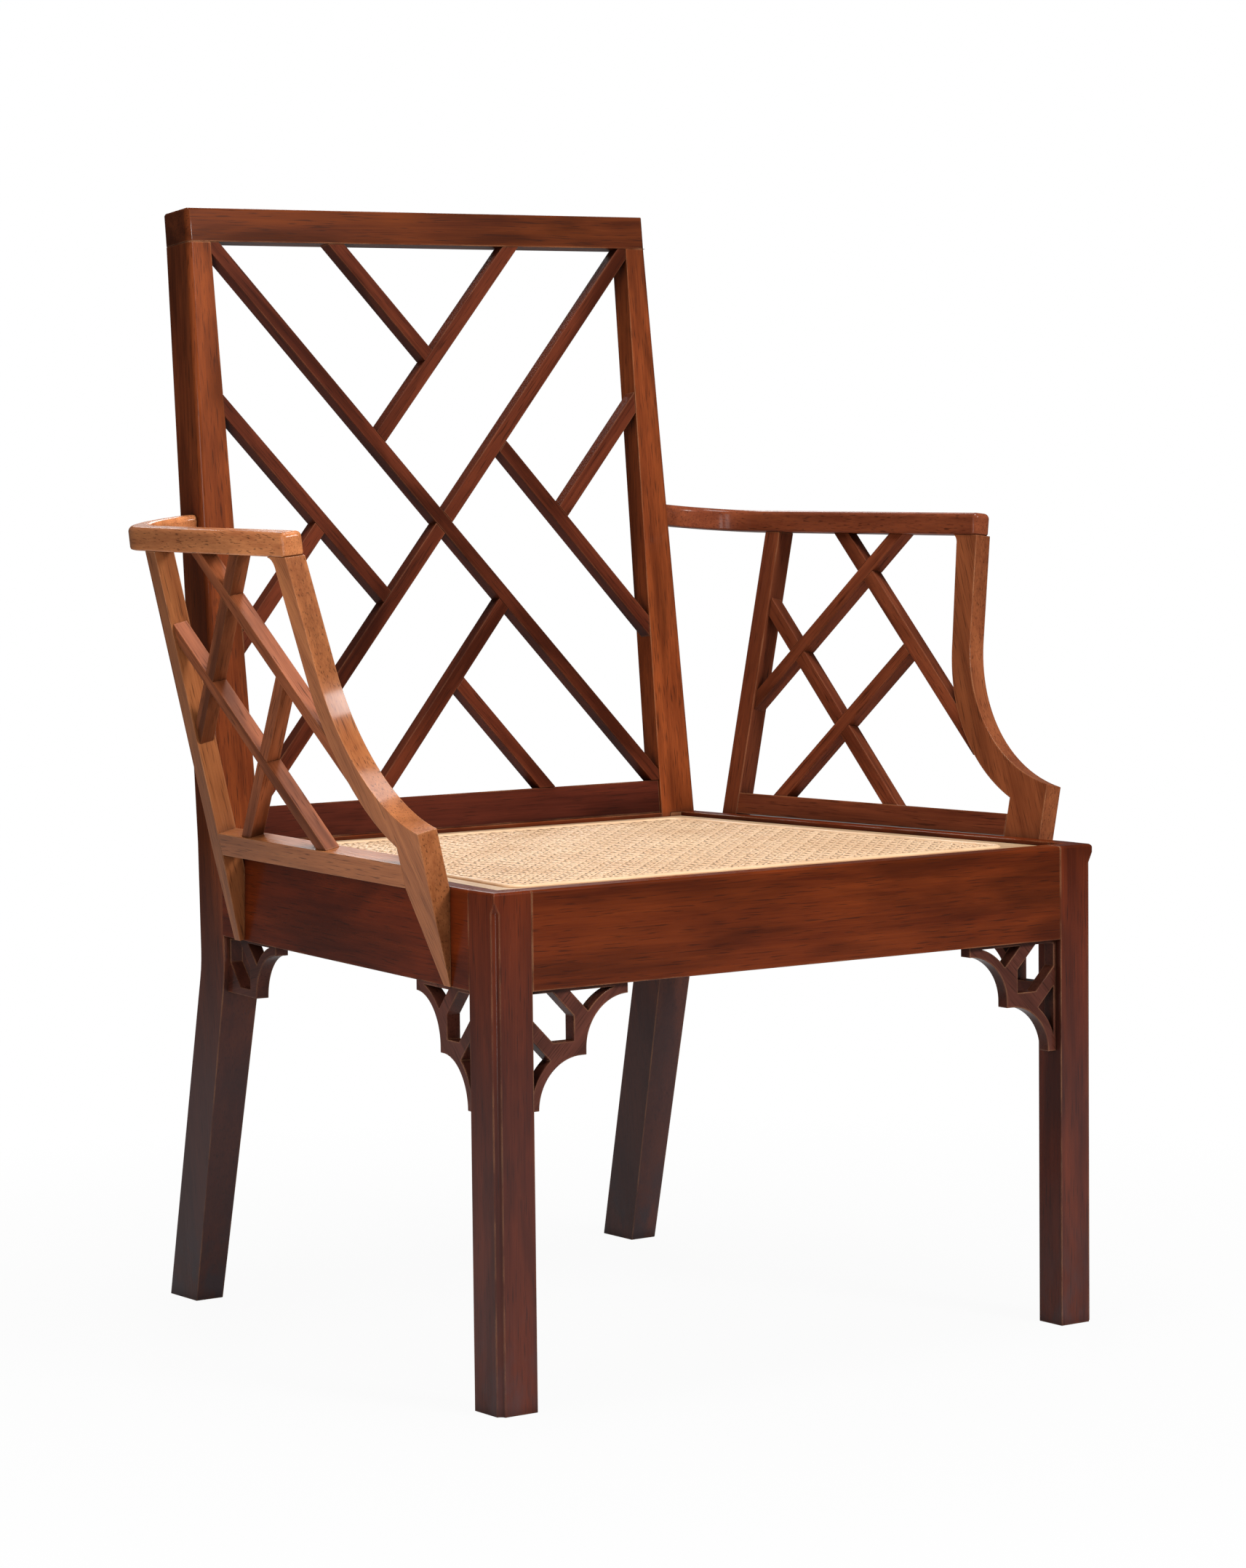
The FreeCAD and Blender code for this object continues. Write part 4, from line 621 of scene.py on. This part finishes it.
def strand_family(points, direction, corners, steps, height):
    """Strands along parallel lines: a flat lens-shaped section of four points is carried along each clipped
    line, raised by a height that depends on its place in plan."""
    enter, leave, inside = clipped(points, direction, corners)
    kept = inside & (leave - enter > CANE_PITCH / 2)
    points = points[kept]
    run = enter[kept, None] + (leave - enter)[kept, None] * np.linspace(0, 1, steps)
    centre = points[:, None, :] + run[..., None] * direction
    across = np.array([-direction[1], direction[0]])
    offset = np.array([-0.5, 0.0, 0.5, 0.0]) * CANE_STRAND
    lift = np.array([0.0, 0.5, 0.0, -0.5]) * CANE_THICK
    plan = centre[:, :, None, :] + offset[:, None] * across
    tall = height(centre[..., 0], centre[..., 1])[:, :, None] + lift
    spots = np.concatenate([plan, tall[..., None]], axis=-1)
    along = run[..., None] + points[:, 0, None, None] * STRAND_UV_SPREAD
    uv = np.stack(np.broadcast_arrays(along, offset + STRAND_UV_START), axis=-1)
    index = np.arange(len(points) * steps * len(offset)).reshape(len(points), steps, len(offset))
    next_side = np.roll(index, -1, axis=2)
    sides = np.stack([index[:, :-1], index[:, 1:], next_side[:, 1:], next_side[:, :-1]], axis=-1)
    faces = np.concatenate([sides.reshape(-1, 4), index[:, 0, :], index[:, -1, ::-1]])
    return spots.reshape(-1, 3), faces, uv.reshape(-1, 2)


def cane_weave(name, corners, middle, material):
    """Six-way cane about a middle height: pairs from front to back, one strand of each a step above the
    other, pairs from side to side that weave between them by a sine of their place, and single strands on
    both diagonals that rise and fall by a cosine of it."""
    low = np.floor(corners.min(axis=0) / CANE_PITCH - 1)
    high = np.ceil(corners.max(axis=0) / CANE_PITCH + 1)
    columns = np.arange(low[0], high[0] + 1) * CANE_PITCH
    rows = np.arange(low[1], high[1] + 1) * CANE_PITCH
    paired_x = np.concatenate([columns - CANE_PAIR, columns + CANE_PAIR])
    paired_y = np.concatenate([rows - CANE_PAIR, rows + CANE_PAIR])
    spread = np.arange(-DIAGONAL_REACH, DIAGONAL_REACH + 1) * CANE_PITCH
    turn = 2 * math.pi / CANE_PITCH
    slope = math.sqrt(0.5)

    def stepped(x, y):
        return middle + 0.5 * CANE_WEAVE * np.sign(x - np.round(x / CANE_PITCH) * CANE_PITCH)

    def woven(x, y):
        return middle - CANE_WEAVE * np.sin(turn * x)

    def climbing(x, y):
        return middle - CANE_WEAVE * np.cos(turn / 2 * (x + y))

    def falling(x, y):
        return middle + CANE_WEAVE * np.cos(turn / 2 * (x - y))

    plans = (
        (paired_x, 0 * paired_x, (0.0, 1.0), LENGTHWISE_STEPS, stepped),
        (0 * paired_y, paired_y, (1.0, 0.0), CROSSWISE_STEPS, woven),
        (spread, 0 * spread, (slope, slope), DIAGONAL_STEPS, climbing),
        (spread, 0 * spread, (-slope, slope), DIAGONAL_STEPS, falling),
    )
    families = [strand_family(np.stack([x, y], axis=1), np.array(direction), corners, steps, height)
                for x, y, direction, steps, height in plans]
    starts = np.cumsum([0] + [len(family[0]) for family in families])[:-1]
    spots = np.concatenate([family[0] for family in families])
    faces = np.concatenate([family[1] + start for family, start in zip(families, starts)])
    uv = np.concatenate([family[2] for family in families])
    return mesh_piece(name, spots, faces, material, uv)


def rounded_outline(corners, radius, steps):
    """Closed path round an outline with its corners rounded, and the outward direction along it: each
    corner is an arc that touches both sides."""
    before = np.roll(corners, 1, axis=0) - corners
    after = np.roll(corners, -1, axis=0) - corners
    before /= np.linalg.norm(before, axis=1, keepdims=True)
    after /= np.linalg.norm(after, axis=1, keepdims=True)
    half_angle = np.arccos(np.sum(before * after, axis=1)) / 2
    towards = before + after
    towards /= np.linalg.norm(towards, axis=1, keepdims=True)
    hub = corners + towards * (radius / np.sin(half_angle))[:, None]
    opening = math.pi / 2 - half_angle
    out = -towards
    swing = np.linspace(-1, 1, steps)[None, :] * opening[:, None]
    turned = np.stack([out[:, 0, None] * np.cos(swing) - out[:, 1, None] * np.sin(swing),
                       out[:, 0, None] * np.sin(swing) + out[:, 1, None] * np.cos(swing)], axis=-1)
    return (hub[:, None, :] + radius * turned).reshape(-1, 2), turned.reshape(-1, 2)


def cane_binding(name, corners, wide, low, high, material):
    """Half-round strip: a half ellipse as wide as the strip and as tall as its height, carried round the
    outline."""
    path, out = rounded_outline(corners, BINDING_CORNER, BINDING_STEPS)
    bend = np.linspace(0, math.pi, BINDING_STEPS)
    offset = np.concatenate([wide / 2 * np.cos(bend), [0.0]])
    lift = np.concatenate([low + (high - low) * np.sin(bend), [low]])
    plan = path[:, None, :] + offset[None, :, None] * out[:, None, :]
    tall = np.broadcast_to(lift, plan.shape[:2])
    spots = np.concatenate([plan, tall[..., None]], axis=-1)
    index = np.arange(spots.shape[0] * spots.shape[1]).reshape(spots.shape[:2])
    next_ring = np.roll(index, -1, axis=0)
    faces = np.stack([index, next_ring, np.roll(next_ring, -1, axis=1), np.roll(index, -1, axis=1)],
                     axis=-1)
    length = np.concatenate([[0], np.cumsum(np.linalg.norm(np.diff(path, axis=0), axis=1))])
    uv = np.stack(np.broadcast_arrays(length[:, None], offset[None, :] + BINDING_UV_START), axis=-1)
    return mesh_piece(name, spots.reshape(-1, 3), faces.reshape(-1, 4), material, uv.reshape(-1, 2))


# Dressing the members

def ease_arrises(obj, width=ARRIS_ROUND, angle=ARRIS_ANGLE, flat=FLAT_ANGLE, recut=False,
                 corner="MITER_SHARP", steps=ARRIS_STEPS):
    """Slightly rounded edges: doubled points are welded, the triangles of each flat face joined and, where
    a face is long and pierced, cut again evenly, sharp edges are rounded, and the light made to run
    smoothly."""
    weld = obj.modifiers.new("welded", "WELD")
    weld.merge_threshold = WELD_REACH
    if flat:
        joined = obj.modifiers.new("joined", "DECIMATE")
        joined.decimate_type = "DISSOLVE"
        joined.angle_limit = flat
    if recut:
        obj.modifiers.new("recut", "TRIANGULATE").ngon_method = "BEAUTY"
    bevel = obj.modifiers.new("eased", "BEVEL")
    bevel.limit_method = "ANGLE"
    bevel.angle_limit = angle
    bevel.width = width
    bevel.segments = steps
    bevel.use_clamp_overlap = False
    bevel.miter_outer = corner
    shade = obj.modifiers.new("shaded", "WEIGHTED_NORMAL")
    shade.weight = FACE_WEIGHT
    shade.keep_sharp = False


def cover(obj, material):
    """Material of a whole member."""
    obj.data.materials.clear()
    obj.data.materials.append(material)


def member_tones(node):
    """Dark and light tone of a mahogany member by its name."""
    for start, end, tone in MEMBERS:
        if node.startswith(start) and node.endswith(end):
            return TONES[tone]


def member_easing(node):
    """What differs in the easing of a member, by its name."""
    for start, easing in EASING:
        if node.startswith(start):
            return easing
    return {}


def dress_mahogany(node, obj):
    """Old polished mahogany, each member with its own board and grain direction."""
    lighter = DRAWS.uniform(*BOARD_LIGHTER)
    dark, light = [[value * lighter for value in tone] for tone in member_tones(node)]
    if node.startswith(("back", "arm_bar")):
        finish = LATTICE
    else:
        finish = {**POLISHED, "cloud_share": ARM_CLOUDS if node.startswith("arm") else FRAME_CLOUDS,
                  "dull_and_sheen_share": DULL_AND_SHEEN_SHARES.get(node.rpartition("_")[0], 0.0)}
    cover(obj, wood_finish(f"mahogany_{node}", obj, dark, light, **MAHOGANY, **finish))
    ease_arrises(obj, **member_easing(node))


def dress_beech(node, obj):
    """Pale beech of the drop-in seat frame."""
    cover(obj, wood_finish(f"beech_{node}", obj, **BEECH))
    ease_arrises(obj)


photo_camera()
studio_world()
for lamp in LAMPS:
    softbox(*lamp)
floor = plate("floor", FLOOR_HALF, floor_finish("white_floor"))

caned_nodes = {"cane_panel", "cane_binding"}
for node, obj in sorted(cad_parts.items()):
    if node in caned_nodes:
        continue
    if node == "arm_screws":
        cover(obj, iron_finish("screw_iron"))
    elif node.startswith("seat_frame"):
        dress_beech(node, obj)
    else:
        dress_mahogany(node, obj)

panel_corners, cane_low, cane_high = cane_corners("cane_panel")
ring_corners, ring_low, ring_high = cane_corners("cane_binding")
cane = cane_weave("cane_weave", panel_corners, (cane_low + cane_high) / 2,
                  cane_finish("split_cane", *STRAND_TONES))
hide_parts("cane_panel")
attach(cane, "drop_in_seat")
ring_wide = float(panel_corners[0, 1] - ring_corners[0, 1])
binding = cane_binding("cane_edge", (panel_corners + ring_corners) / 2, ring_wide, ring_low, ring_high,
                       cane_finish("binding_cane", *BINDING_TONES))
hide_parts("cane_binding")
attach(binding, "drop_in_seat")
